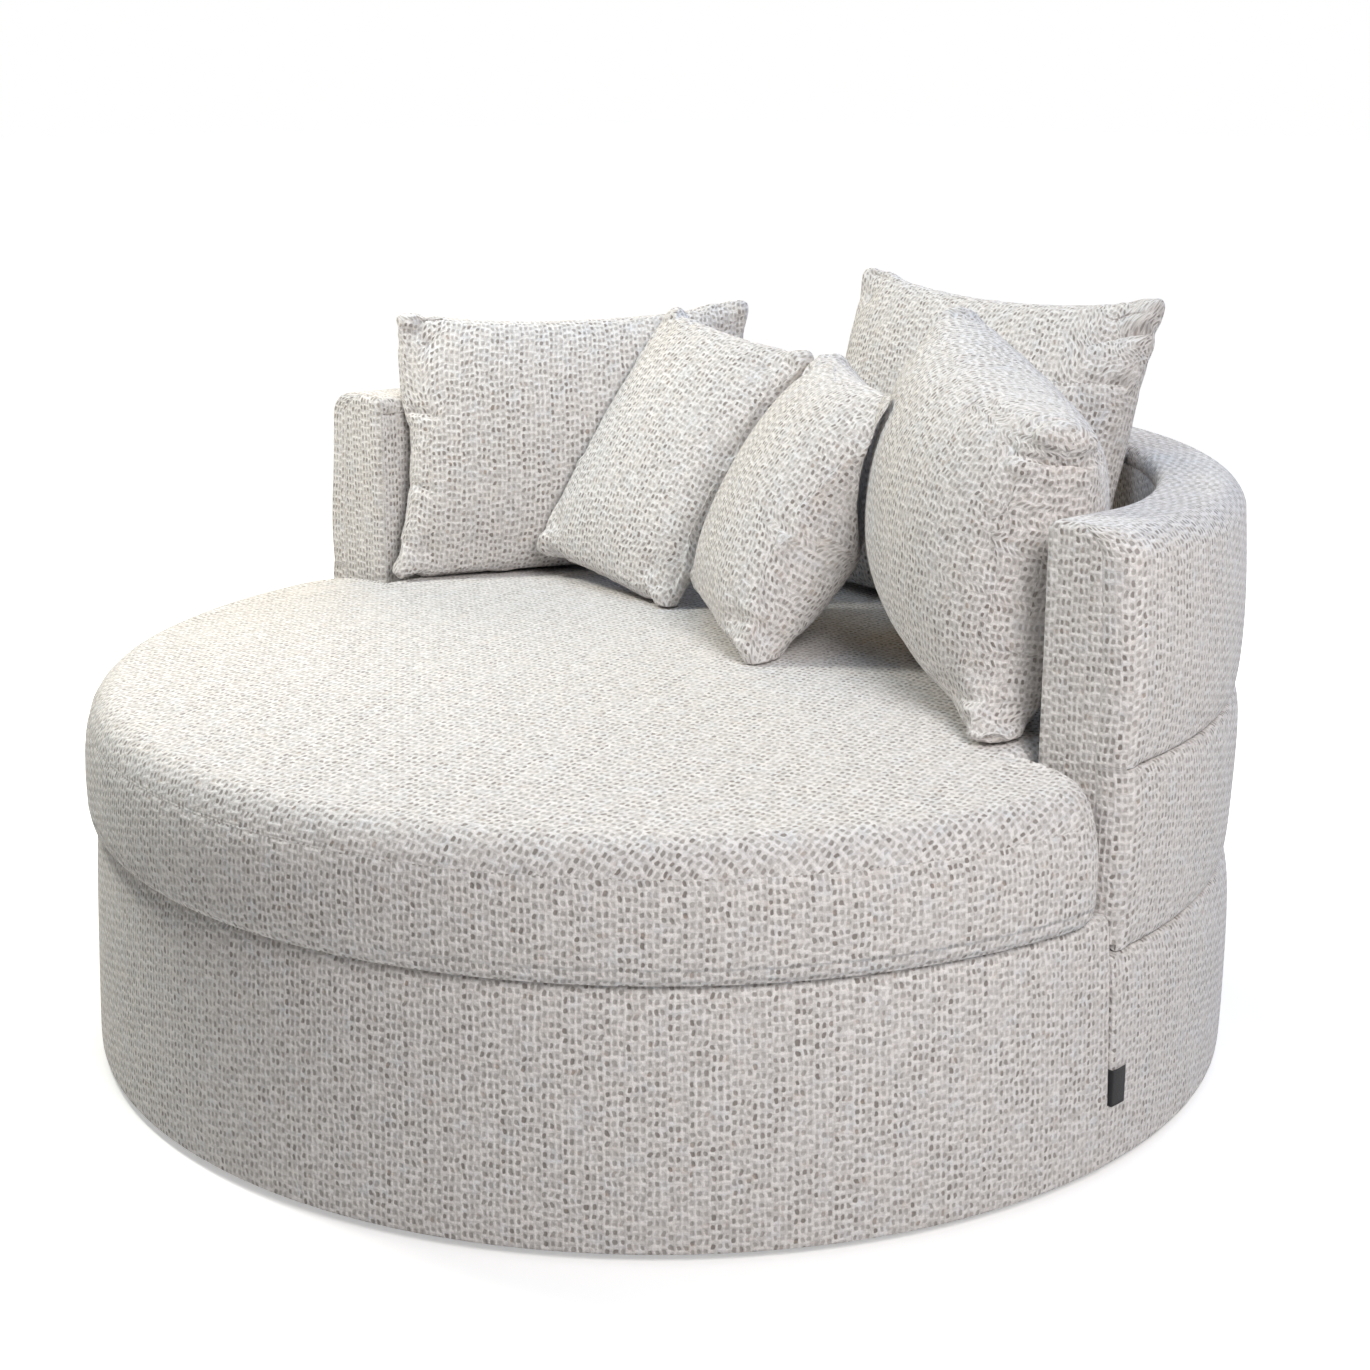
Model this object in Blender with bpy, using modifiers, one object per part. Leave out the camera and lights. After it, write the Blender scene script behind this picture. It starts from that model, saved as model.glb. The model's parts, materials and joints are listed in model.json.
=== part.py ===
# Round loveseat: a drum base on glides, a half round shell stuffed in three rolls,
# a loose seat cushion with a round front lobe, and five loose scatter cushions.
# Metres, +Z up, floor at z = 0, front towards -Y, origin at the middle of the drum.
import math

import bmesh
import bpy
import numpy as np
from mathutils import Vector

# Clearances
touch_gap = 0.0003
seam_gap = 0.0018
rest_gap = 0.0004
press_gap = 0.0020

# Facets round a full turn
turn_steps = 56

# Drum. An inset is how far inside the hem a piece's radius lies.
hem_radius = 0.750
hem_height = 0.010
band_height = 0.303
band_crease_inset = 0.013
band_swell = 0.001
band_edge_round = 0.013
skin_inset = 0.0377
skin_thickness = 0.003

# Base frame
glide_radius = 0.022
glide_tip_share = 0.9
glide_height = 0.0142
glide_count = 6
glide_inset = 0.095
dust_cover_inset = 0.045
dust_cover_thickness = 0.0012
board_thickness = 0.018
ring_inner_inset = 0.178
deck_height = 0.274
base_post_count = 6
base_post_depth = 0.045
base_post_width = 0.040
rail_width = 0.050
rail_height = 0.030
rail_spread = 0.500

# Webbing
strap_width = 0.070
strap_thickness = 0.0018
strap_wave = 0.0013
straps_each_way = 4
strap_margin_share = 0.6
strap_hold = 0.050
strap_leave_share = 0.6
strap_points_per_spacing = 4

# Shell
shell_depth = 0.114
inside_pad_thickness = 0.023
back_post_depth = 0.040
back_post_width = 0.045
back_post_count = 4
panel_thickness = 0.003
shell_height = 0.743
mid_ring_height = 0.504
top_pad_thickness = 0.025
seam_low_height = 0.275
seam_high_height = 0.490
seam_low_inset = 0.008
seam_high_inset = 0.007
roll_top_inset = 0.007
roll_tuck = 0.007
roll_swell = 0.002
top_outer_round = 0.034
top_inner_round = 0.014
top_side_drop_share = 0.3
arm_pad_thickness = 0.0141
arm_pad_round = 0.005

# Label tab, bare
label_height = 0.045
label_bottom = 0.085
label_fold = 0.025
label_root = 0.018
label_thickness = 0.0006

# Seat cushion
seat_front_inset = 0.001
seat_back_gap = 0.004
seat_side_height = 0.161
seat_crown = 0.023
seat_crown_inset = 0.050
seat_arm_gap = 0.004
seat_corner_radius = 0.055
seat_cover_thickness = 0.0015
seat_core_clearance = 0.0045
seat_bottom_draw = 0.014
seat_hem_clearance = 0.002
seat_shoulder = 0.049
seat_middle_forward = 0.200

# The seat's side from its lower edge to the shoulder: how far the plan is drawn in, at each
# share of the side's height; then the crown's rings as shares of the shoulder's spread
seat_side_steps = ((0.004, 0.05), (0.0, 0.35), (0.004, 0.66), (0.013, 0.85), (0.028, 0.96))
seat_crown_rings = (0.78, 0.54, 0.30, 0.10)

# Fullness of a scatter cushion's edge and of its face
pillow_cells = 12
pillow_fullness = 0.42

# Scatter cushions: place is where the middle of the lower edge stands, as shares of the
# shell's inner radius, and lift its height over the seat's rim; heading is where the front
# looks, from -Y towards +X; lean tips the top back; roll turns it in its own plane; span is
# its width as a share of the shell's inner radius, because the cushions fill the shell
scatter_cushions = {
    "cushion_left_large": {
        "place": (-0.734, 0.382), "lift": 0.009, "heading": 61.6, "lean": 7.8, "roll": 0.6,
        "span": 0.854, "height": 0.389, "skew": 0.066, "thickness": 0.165,
        "side_draw": 0.06, "top_draw": 0.07, "bottom_draw": 0.0, "leans_on": ()},
    "cushion_left_small": {
        "place": (-0.448, 0.227), "lift": 0.030, "heading": -2.3, "lean": 33.2, "roll": -7.5,
        "span": 0.521, "height": 0.420, "skew": -0.009, "thickness": 0.150,
        "side_draw": 0.06, "top_draw": 0.06, "bottom_draw": 0.03,
        "leans_on": ("cushion_left_large", "cushion_back_large")},
    "cushion_right_small": {
        "place": (0.052, 0.127), "lift": 0.027, "heading": -29.6, "lean": 32.6, "roll": -5.3,
        "span": 0.530, "height": 0.387, "skew": -0.150, "thickness": 0.195,
        "side_draw": 0.06, "top_draw": 0.06, "bottom_draw": 0.03,
        "leans_on": ("cushion_right_large", "cushion_back_large")},
    "cushion_back_large": {
        "place": (0.151, 0.684), "lift": 0.013, "heading": -6.7, "lean": 15.5, "roll": 0.0,
        "span": 0.921, "height": 0.465, "skew": 0.008, "thickness": 0.170,
        "side_draw": 0.06, "top_draw": 0.07, "bottom_draw": 0.0, "leans_on": ()},
    "cushion_right_large": {
        "place": (0.580, 0.249), "lift": 0.034, "heading": -33.2, "lean": 8.3, "roll": -9.5,
        "span": 0.817, "height": 0.388, "skew": -0.100, "thickness": 0.270,
        "side_draw": 0.06, "top_draw": 0.07, "bottom_draw": 0.0,
        "leans_on": ("cushion_back_large",)},
}

# Colours: linear red, green, blue, then roughness and metallic value
finishes = {
    "weave": ((0.62, 0.57, 0.50), 0.95, 0.0),
    "plywood": ((0.62, 0.45, 0.27), 0.65, 0.0),
    "timber": ((0.68, 0.50, 0.30), 0.70, 0.0),
    "hardboard": ((0.33, 0.21, 0.12), 0.75, 0.0),
    "foam": ((0.85, 0.80, 0.62), 0.95, 0.0),
    "webbing": ((0.12, 0.12, 0.12), 0.90, 0.0),
    "dust_cloth": ((0.03, 0.03, 0.03), 0.95, 0.0),
    "black_plastic": ((0.02, 0.02, 0.02), 0.45, 0.0),
    "black_tape": ((0.015, 0.015, 0.015), 0.80, 0.0),
}

# Heights and radii worked out from the sizes above
half_step = math.pi / turn_steps
flat = math.cos(half_step)
board_bottom = glide_height + touch_gap
deck_bottom = deck_height - board_thickness
band_crease_radius = hem_radius - band_crease_inset
skin_radius = hem_radius - skin_inset
skin_outer_radius = skin_radius + skin_thickness
cover_inner_radius = skin_outer_radius + touch_gap
ring_outer_radius = skin_radius - touch_gap
ring_inner_radius = hem_radius - ring_inner_inset
post_circle = ring_outer_radius * flat - base_post_depth / 2 - touch_gap * 3
glide_circle = hem_radius - glide_inset
dust_cover_radius = hem_radius - dust_cover_inset
strap_spacing = 2 * ring_inner_radius / (straps_each_way + 2 * strap_margin_share)
band_top = hem_height + band_height
strap_bottom = deck_height + touch_gap
strap_top = strap_bottom + strap_thickness + 2 * strap_wave
deck_pad_bottom = strap_top + touch_gap
deck_pad_top = band_top - touch_gap / 2
seat_bottom = band_top + touch_gap
seat_rim_height = seat_bottom + seat_side_height
seat_middle = np.array((0.0, -seat_middle_forward))
seam_low_radius = hem_radius - seam_low_inset
seam_high_radius = hem_radius - seam_high_inset
roll_top_radius = hem_radius - roll_top_inset
shell_inner_radius = roll_top_radius - shell_depth
seat_front_radius = hem_radius - seat_front_inset
seat_back_radius = shell_inner_radius - seat_back_gap
seat_crown_radius = hem_radius - seat_crown_inset
inner_panel_radius = shell_inner_radius + inside_pad_thickness + touch_gap
post_inner_radius = inner_panel_radius + panel_thickness + touch_gap
post_outer_radius = post_inner_radius + back_post_depth
outer_panel_radius = post_outer_radius + touch_gap
roll_inner_radius = outer_panel_radius + panel_thickness + touch_gap
top_pad_bottom = shell_height - top_pad_thickness
arm_pad_front = touch_gap * 2
arm_board_front = arm_pad_front + arm_pad_thickness + touch_gap
shell_start = arm_board_front + board_thickness + touch_gap
panel_bottom = deck_height + touch_gap
panel_top = top_pad_bottom - touch_gap


def clear_scene():
    for item in list(bpy.data.objects):
        bpy.data.objects.remove(item, do_unlink=True)


def new_collection(name):
    collection = bpy.data.collections.new(name)
    bpy.context.scene.collection.children.link(collection)
    return collection


def new_material(name, finish):
    colour, roughness, metallic = finishes[finish]
    material = bpy.data.materials.new(name)
    material.use_nodes = True
    shader = material.node_tree.nodes["Principled BSDF"]
    shader.inputs["Base Color"].default_value = (*colour, 1.0)
    shader.inputs["Roughness"].default_value = roughness
    shader.inputs["Metallic"].default_value = metallic
    return material


def add_object(name, data, finish, location=(0, 0, 0), turn=0.0):
    item = bpy.data.objects.new(name, data)
    data.materials.append(new_material(name, finish))
    parts.objects.link(item)
    item.location = location
    item.rotation_euler = (0, 0, turn)
    return item


def mesh_from(name, points, faces=(), edges=()):
    mesh = bpy.data.meshes.new(name)
    mesh.from_pydata([tuple(map(float, point)) for point in points], list(edges), list(faces))
    mesh.update()
    return mesh


def shade_round(item, sharp_angle=40.0):
    item.data.shade_smooth()
    item.data.set_sharp_from_angle(angle=math.radians(sharp_angle))


def turned(name, profile, finish):
    # A closed outline of (radius, height) points, down its outer side, turned about Z.
    # Half a facet of turn puts a flat face square to +X and another square to +Y.
    count = len(profile)
    points = [(radius, 0, height) for radius, height in profile]
    edges = [(i, (i + 1) % count) for i in range(count)]
    item = add_object(name, mesh_from(name, points, edges=edges), finish, turn=half_step)
    screw = item.modifiers.new("turn", "SCREW")
    screw.axis = "Z"
    screw.angle = 2 * math.pi
    screw.steps = turn_steps
    screw.render_steps = turn_steps
    screw.use_merge_vertices = True
    screw.merge_threshold = 0.00001
    screw.use_smooth_shade = True
    return item


def half_space(name, front, back):
    # A block across the whole object from y = front to y = back, for cutting turned pieces
    reach = 2 * hem_radius
    bpy.ops.mesh.primitive_cube_add(size=1, location=(0, (front + back) / 2, shell_height / 2))
    block = bpy.context.active_object
    block.name = name
    block.dimensions = (2 * reach, back - front, 2 * shell_height)
    for collection in list(block.users_collection):
        collection.objects.unlink(block)
    cutters.objects.link(block)
    block.hide_render = True
    block.display_type = "WIRE"
    return block


def cut(item, block):
    boolean = item.modifiers.new("cut " + block.name, "BOOLEAN")
    boolean.operation = "DIFFERENCE"
    boolean.solver = "EXACT"
    boolean.object = block


def box(name, size, centre, finish, turn=0.0):
    mesh = bpy.data.meshes.new(name)
    shape = bmesh.new()
    bmesh.ops.create_cube(shape, size=1.0)
    bmesh.ops.scale(shape, vec=Vector(size), verts=shape.verts)
    shape.to_mesh(mesh)
    shape.free()
    return add_object(name, mesh, finish, centre, turn)


def flat_outline(name, outlines, bottom, top, finish):
    # Closed outlines of (x, y) points filled and given a thickness; inner ones are holes
    curve = bpy.data.curves.new(name, "CURVE")
    curve.dimensions = "2D"
    curve.fill_mode = "BOTH"
    curve.extrude = (top - bottom) / 2
    for outline in outlines:
        spline = curve.splines.new("POLY")
        spline.points.add(len(outline) - 1)
        for point, (x, y) in zip(spline.points, outline):
            point.co = (x, y, 0, 1)
        spline.use_cyclic_u = True
    return add_object(name, curve, finish, (0, 0, (bottom + top) / 2))


def grid_angles():
    return [(i + 0.5) * 2 * half_step for i in range(turn_steps)]


def circle(radius, count, centre=(0, 0), start=0.0):
    angles = [start + 2 * math.pi * i / count for i in range(count)]
    return [(centre[0] + radius * math.cos(a), centre[1] + radius * math.sin(a)) for a in angles]


def ring_profile(inner, outer, bottom, top):
    return [(outer, top), (outer, bottom), (inner, bottom), (inner, top)]


def stuffed_side(high, low, high_radius, low_radius, high_tuck, low_tuck, swell, count=9):
    # Outer side of a stuffed roll from top to bottom: a straight taper, pulled in at each
    # sewn end by its tuck along a fifth power curve, and swelled by half a sine wave
    points = []
    for i in range(count):
        share = 0.5 - 0.5 * math.cos(math.pi * i / (count - 1))
        reach = abs(2 * share - 1)
        pull = 1 - (1 - reach ** 5) ** 0.2
        tuck = high_tuck if share < 0.5 else low_tuck
        radius = high_radius + (low_radius - high_radius) * share
        radius += swell * math.sin(math.pi * share) - tuck * pull
        points.append((radius, high + (low - high) * share))
    return points


def quarter(centre, radii, start, end, count):
    # Points of an ellipse arc in the (radius, height) plane, both ends included
    angles = [math.radians(start + (end - start) * i / (count - 1)) for i in range(count)]
    return [(centre[0] + radii[0] * math.cos(a), centre[1] + radii[1] * math.sin(a)) for a in angles]


def lower_roll_profile():
    side = stuffed_side(seam_low_height - touch_gap, hem_height, seam_low_radius,
                        hem_radius, roll_tuck, 0.0, 0.0)
    return side + [(cover_inner_radius, hem_height), (cover_inner_radius, side[0][1])]


def middle_roll_profile():
    side = stuffed_side(seam_high_height - touch_gap / 2, seam_low_height + touch_gap,
                        seam_high_radius, seam_low_radius, roll_tuck, roll_tuck, roll_swell / 2)
    return side + [(roll_inner_radius, side[-1][1]), (roll_inner_radius, side[0][1])]


def upper_roll_profile():
    # From the inner lip over the rounded top, down the outside and back up behind the panel
    inner = quarter((shell_inner_radius + top_inner_round, shell_height - top_inner_round),
                    (top_inner_round, top_inner_round), 180, 90, 4)
    corner = (roll_top_radius - top_outer_round, shell_height - top_outer_round)
    outer = quarter(corner, (top_outer_round, top_outer_round), 90, 18, 5)
    side = stuffed_side(corner[1] - top_side_drop_share * top_outer_round,
                        seam_high_height + touch_gap / 2, roll_top_radius, seam_high_radius,
                        0.0, roll_tuck, roll_swell, 8)
    below = [(roll_inner_radius, side[-1][1]), (roll_inner_radius, top_pad_bottom),
             (shell_inner_radius, top_pad_bottom)]
    return inner + outer + side + below


def band_profile():
    side = stuffed_side(band_top, hem_height, band_crease_radius, hem_radius,
                        band_edge_round, 0.0, band_swell, 10)
    return side + [(cover_inner_radius, hem_height), (cover_inner_radius, band_top)]


def make_glides():
    for i in range(glide_count):
        angle = 2 * math.pi * i / glide_count
        centre = (glide_circle * math.cos(angle), glide_circle * math.sin(angle), glide_height / 2)
        mesh = bpy.data.meshes.new(f"glide_{i + 1}")
        shape = bmesh.new()
        bmesh.ops.create_cone(shape, cap_ends=True, segments=16,
                              radius1=glide_radius * glide_tip_share,
                              radius2=glide_radius, depth=glide_height)
        shape.to_mesh(mesh)
        shape.free()
        item = add_object(f"glide_{i + 1}", mesh, "black_plastic", centre)
        shade_round(item)


def make_dust_cover():
    holes = []
    for i in range(glide_count):
        angle = 2 * math.pi * i / glide_count
        centre = (glide_circle * math.cos(angle), glide_circle * math.sin(angle))
        holes.append(circle(glide_radius + touch_gap * 3, 12, centre))
    rim = [(dust_cover_radius * math.cos(a), dust_cover_radius * math.sin(a)) for a in grid_angles()]
    top = board_bottom - touch_gap
    flat_outline("dust_cover", [rim] + holes, top - dust_cover_thickness, top, "dust_cloth")


def make_base_frame():
    turned("base_ring", ring_profile(ring_inner_radius, ring_outer_radius, board_bottom,
                                     board_bottom + board_thickness), "plywood")
    turned("deck_ring", ring_profile(ring_inner_radius, ring_outer_radius, deck_bottom,
                                     deck_height), "plywood")
    low = board_bottom + board_thickness + touch_gap
    high = deck_bottom - touch_gap
    for i in range(base_post_count):
        angle = 2 * math.pi * i / base_post_count
        centre = (post_circle * math.cos(angle), post_circle * math.sin(angle), (low + high) / 2)
        box(f"base_post_{i + 1}", (base_post_depth, base_post_width, high - low), centre,
            "timber", turn=angle)
    reach = ring_outer_radius - base_post_depth / 2
    length = 2 * math.sqrt(reach ** 2 - (rail_spread / 2 + rail_width / 2) ** 2)
    for side, name in ((-1, "base_rail_left"), (1, "base_rail_right")):
        box(name, (rail_width, length, rail_height),
            (side * rail_spread / 2, 0, low + rail_height / 2), "timber")
    turned("base_skin", ring_profile(skin_radius, skin_outer_radius, board_bottom, deck_height),
           "hardboard")


def make_webbing():
    # Straps woven over and under: each centre line is a wave whose crests lie at the crossings
    middle = strap_bottom + strap_thickness / 2 + strap_wave
    offsets = [(i - (straps_each_way - 1) / 2) * strap_spacing for i in range(straps_each_way)]
    step = strap_spacing / strap_points_per_spacing
    for way, name in ((0, "strap_across"), (1, "strap_along")):
        for index, offset in enumerate(offsets):
            outer_edge = abs(offset) + strap_width / 2
            reach = math.sqrt((ring_inner_radius + strap_hold) ** 2 - outer_edge ** 2)
            seat = math.sqrt(ring_inner_radius ** 2 - outer_edge ** 2)
            inside = round(offsets[-1] / step)
            leave = offsets[-1] + strap_leave_share * strap_width
            stations = [-reach, -seat, -leave]
            stations += [offsets[0] + i * step for i in range(2 * inside + 1)]
            stations += [leave, seat, reach]
            points = []
            for station in stations:
                phase = math.pi * (station - offsets[0]) / strap_spacing
                sign = 1 if (index + way) % 2 == 0 else -1
                height = sign * strap_wave * math.cos(phase)
                if abs(station) >= seat:
                    height = -strap_wave
                points.append((station, height))
            add_strap(f"{name}_{index + 1}", points, offset, middle, way)


def add_strap(name, points, offset, middle, way):
    mesh = bpy.data.meshes.new(name)
    shape = bmesh.new()
    rows = []
    for station, height in points:
        row = []
        for side in (offset - strap_width / 2, offset + strap_width / 2):
            place = (station, side) if way == 0 else (side, station)
            row.append(shape.verts.new((*place, middle + height)))
        rows.append(row if way == 0 else row[::-1])
    for (a, b), (c, d) in zip(rows, rows[1:]):
        shape.faces.new((a, c, d, b))
    shape.to_mesh(mesh)
    shape.free()
    item = add_object(name, mesh, "webbing")
    solid = item.modifiers.new("thickness", "SOLIDIFY")
    solid.thickness = strap_thickness
    solid.offset = 0.0


def make_drum_cover():
    band = turned("front_band", band_profile(), "weave")
    cut(band, half_space("behind_seam", -seam_gap / 2, 2 * hem_radius))


def make_shell_frame():
    before_boards = half_space("before_shell_frame", -2 * hem_radius, shell_start)
    low_top = mid_ring_height - board_thickness
    rings = (("back_ring_middle", low_top, mid_ring_height),
             ("back_ring_top", panel_top - board_thickness, panel_top))
    for name, bottom, top in rings:
        ring = turned(name, ring_profile(post_inner_radius, post_outer_radius, bottom, top), "plywood")
        cut(ring, before_boards)
    spans = (("back_post_lower", panel_bottom, low_top - touch_gap),
             ("back_post_upper", mid_ring_height + touch_gap, panel_top - board_thickness - touch_gap))
    inner = post_inner_radius + touch_gap
    outer = math.sqrt((post_outer_radius * flat) ** 2 - (back_post_width / 2) ** 2) - touch_gap
    for name, low, high in spans:
        for i in range(back_post_count):
            angle = math.pi * (i + 1) / (back_post_count + 1)
            middle = (inner + outer) / 2
            centre = (middle * math.cos(angle), middle * math.sin(angle), (low + high) / 2)
            box(f"{name}_{i + 1}", (outer - inner, back_post_width, high - low), centre,
                "timber", turn=angle)
    panels = (("inner_back_panel", inner_panel_radius, deck_pad_bottom),
              ("outer_back_panel", outer_panel_radius, panel_bottom))
    for name, radius, bottom in panels:
        panel = turned(name, ring_profile(radius, radius + panel_thickness, bottom, panel_top),
                       "hardboard")
        cut(panel, before_boards)
    inner_side = (inner_panel_radius * flat) + touch_gap
    outer_side = (roll_inner_radius * flat) - touch_gap
    for side, name in ((-1, "arm_board_left"), (1, "arm_board_right")):
        box(name, (outer_side - inner_side, board_thickness, panel_top - panel_bottom),
            (side * (inner_side + outer_side) / 2, arm_board_front + board_thickness / 2,
             (panel_bottom + panel_top) / 2), "plywood")


def make_shell_cover():
    behind_pads = half_space("before_shell_cover", -2 * hem_radius,
                             arm_pad_front + arm_pad_thickness + touch_gap)
    lower = turned("back_roll_lower", lower_roll_profile(), "weave")
    cut(lower, half_space("before_seam", -2 * hem_radius, seam_gap / 2))
    middle = turned("back_roll_middle", middle_roll_profile(), "weave")
    cut(middle, behind_pads)
    upper = turned("back_roll_upper", upper_roll_profile(), "weave")
    cut(upper, behind_pads)
    pad = turned("inside_back_pad", ring_profile(shell_inner_radius, inner_panel_radius - touch_gap,
                                                 deck_pad_bottom, panel_top), "weave")
    cut(pad, behind_pads)
    for side, name in ((-1, "arm_front_pad_left"), (1, "arm_front_pad_right")):
        arm_front_pad(name, side)


def arm_front_pad(name, side):
    # The shell's own section, closed below, as a padded face with rounded edges
    upper = upper_roll_profile()
    middle = middle_roll_profile()
    outline = upper[:-3] + middle[:-2]
    outline += [(shell_inner_radius, middle[-3][1])]
    curve = bpy.data.curves.new(name, "CURVE")
    curve.dimensions = "2D"
    curve.fill_mode = "BOTH"
    curve.extrude = arm_pad_thickness / 2 - arm_pad_round
    curve.bevel_depth = arm_pad_round
    curve.bevel_resolution = 1
    curve.offset = -arm_pad_round
    spline = curve.splines.new("POLY")
    spline.points.add(len(outline) - 1)
    for point, (radius, height) in zip(spline.points, outline):
        point.co = (side * radius * flat, height, 0, 1)
    spline.use_cyclic_u = True
    item = add_object(name, curve, "weave", (0, arm_pad_front + arm_pad_thickness / 2, 0))
    item.rotation_euler = (math.pi / 2, 0, 0)


def make_label():
    # A folded tape in the right corner seam: a root between the covers, a leaf on the roll
    side = lower_roll_profile()[:-2]
    heights = [height for radius, height in reversed(side)]
    radii = [radius for radius, height in reversed(side)]
    leaf = float(np.interp(label_bottom, heights, radii)) * flat + touch_gap
    half = label_thickness / 2
    outline = [(leaf - label_root, -half), (leaf + label_thickness, -half),
               (leaf + label_thickness, label_fold), (leaf, label_fold), (leaf, half),
               (leaf - label_root, half)]
    flat_outline("label_tab", [outline], label_bottom, label_bottom + label_height, "black_tape")


def tee_outline(front_radius, back_radius, front_edge, corner):
    # Plan of the seat: a round front lobe, rounded corners before the arms, a round back
    angles = grid_angles()
    near = front_radius * flat - corner
    centre_x = math.sqrt(near ** 2 - (front_edge + corner) ** 2)
    swing = math.atan2(front_edge + corner, centre_x)
    back = [(back_radius * math.cos(a), back_radius * math.sin(a))
            for a in angles[::2] if a < math.pi]
    front = [(front_radius * math.cos(a), front_radius * math.sin(a)) for a in angles
             if math.pi + swing < a < 2 * math.pi - swing]
    turn = math.pi / 2 + swing
    arc = [(centre_x + corner * math.cos(-swing + turn * i / 3),
            -front_edge - corner + corner * math.sin(-swing + turn * i / 3)) for i in range(4)]
    right = arc + [(back_radius * flat, -front_edge)]
    left = [(-x, y) for x, y in reversed(right)]
    return back + left + front + right


def seat_height(x, y):
    share = (x ** 2 + y ** 2) / seat_crown_radius ** 2
    return seat_rim_height + seat_crown * (1 - share)


def seat_plan(inset, draw):
    # The seat's plan inset on every side, then drawn in towards a middle point in the lobe
    plan = np.array(tee_outline(seat_front_radius - inset, seat_back_radius - inset,
                                seat_arm_gap + inset, seat_corner_radius - inset))
    spokes = plan - seat_middle
    lengths = np.linalg.norm(spokes, axis=1)
    return seat_middle + spokes * ((lengths - draw) / lengths)[:, None]


def seat_surface(inset, lower):
    # Rings of points from the lower edge up the side and over the crown to the middle
    side = ((seat_bottom_draw, 0.0), *seat_side_steps, (seat_shoulder, 1.0))
    shoulder = seat_plan(inset, seat_shoulder)
    top = seat_height(shoulder[:, 0], shoulder[:, 1]) - inset
    floor = seat_bottom + lower
    rings = []
    for draw, share in side:
        rings.append(np.column_stack((seat_plan(inset, draw), floor + (top - floor) * share)))
    edge = rings[-1][:, :2] - seat_middle
    for share in seat_crown_rings:
        ring = seat_middle + edge * share
        rings.append(np.column_stack((ring, seat_height(ring[:, 0], ring[:, 1]) - inset)))
    return rings


def add_rings(shape, rings, close_low):
    rows = [[shape.verts.new(point) for point in ring] for ring in rings]
    count = len(rows[0])
    for low, high in zip(rows, rows[1:]):
        for i in range(count):
            j = (i + 1) % count
            shape.faces.new((low[i], low[j], high[j], high[i]))
    shape.faces.new(rows[-1])
    if close_low:
        shape.faces.new(list(reversed(rows[0])))


def make_seat():
    mesh = bpy.data.meshes.new("seat_cushion_cover")
    shape = bmesh.new()
    add_rings(shape, seat_surface(0.0, 0.0), False)
    shape.to_mesh(mesh)
    shape.free()
    cover = add_object("seat_cushion_cover", mesh, "weave")
    solid = cover.modifiers.new("cloth", "SOLIDIFY")
    solid.thickness = seat_cover_thickness
    solid.offset = -1.0
    cover.data.shade_smooth()

    mesh = bpy.data.meshes.new("seat_cushion_core")
    shape = bmesh.new()
    floor = seat_cover_thickness + touch_gap
    rings = seat_surface(seat_core_clearance, floor)
    add_rings(shape, [rings[0], rings[2], rings[4], rings[6], rings[8]], True)
    shape.to_mesh(mesh)
    shape.free()
    add_object("seat_cushion_core", mesh, "foam")

    outline = seat_plan(seat_cover_thickness + touch_gap, seat_bottom_draw + seat_hem_clearance)
    flat_outline("seat_cushion_underside", [outline.tolist()], seat_bottom,
                 seat_bottom + seat_cover_thickness, "weave")


def make_deck_pad():
    front = cover_inner_radius - touch_gap * 2
    outline = tee_outline(front, seat_back_radius, seat_arm_gap, seat_corner_radius)
    flat_outline("deck_pad", [outline], deck_pad_bottom, deck_pad_top, "foam")


def pillow_foot(size):
    x, y = size["place"]
    return np.array((x * shell_inner_radius, y * shell_inner_radius, seat_rim_height + size["lift"]))


def pillow_frame(size):
    heading, lean, roll = (math.radians(size[key]) for key in ("heading", "lean", "roll"))
    ahead = np.array((math.sin(heading), -math.cos(heading), 0.0))
    across = np.array((math.cos(heading), math.sin(heading), 0.0))
    above = np.array((0.0, 0.0, 1.0))
    normal = ahead * math.cos(lean) + above * math.sin(lean)
    upward = -ahead * math.sin(lean) + above * math.cos(lean)
    right = across * math.cos(roll) + upward * math.sin(roll)
    rise = -across * math.sin(roll) + upward * math.cos(roll)
    return right, rise + size["skew"] * right, normal


def pillow_face(size, x, y):
    # How far a cushion's face stands off its middle plane
    swell = np.maximum((1 - x ** 2) * (1 - y ** 2), 0)
    return size["thickness"] / 2 * swell ** pillow_fullness


def pillow_points(size, u, v, side):
    # u and v run from -1 to 1 across and up. The edges are drawn in between the corners:
    # x = u (1 - draw u u (1 - v v)), and the face stands off by thickness / 2 times
    # ((1 - u u)(1 - v v)) ^ fullness
    right, rise, normal = pillow_frame(size)
    end_draw = np.where(v > 0, size["top_draw"], size["bottom_draw"])
    x = u * (1 - size["side_draw"] * u ** 2 * (1 - v ** 2))
    y = v * (1 - end_draw * v ** 2 * (1 - u ** 2))
    off = side * pillow_face(size, u, v)
    half_width = size["span"] * shell_inner_radius / 2
    points = (pillow_foot(size) + (x * half_width)[:, None] * right
              + ((y + 1) * size["height"] / 2)[:, None] * rise + off[:, None] * normal)
    for name in size["leans_on"]:
        points = press(points, scatter_cushions[name])
    return settle(points)


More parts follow.
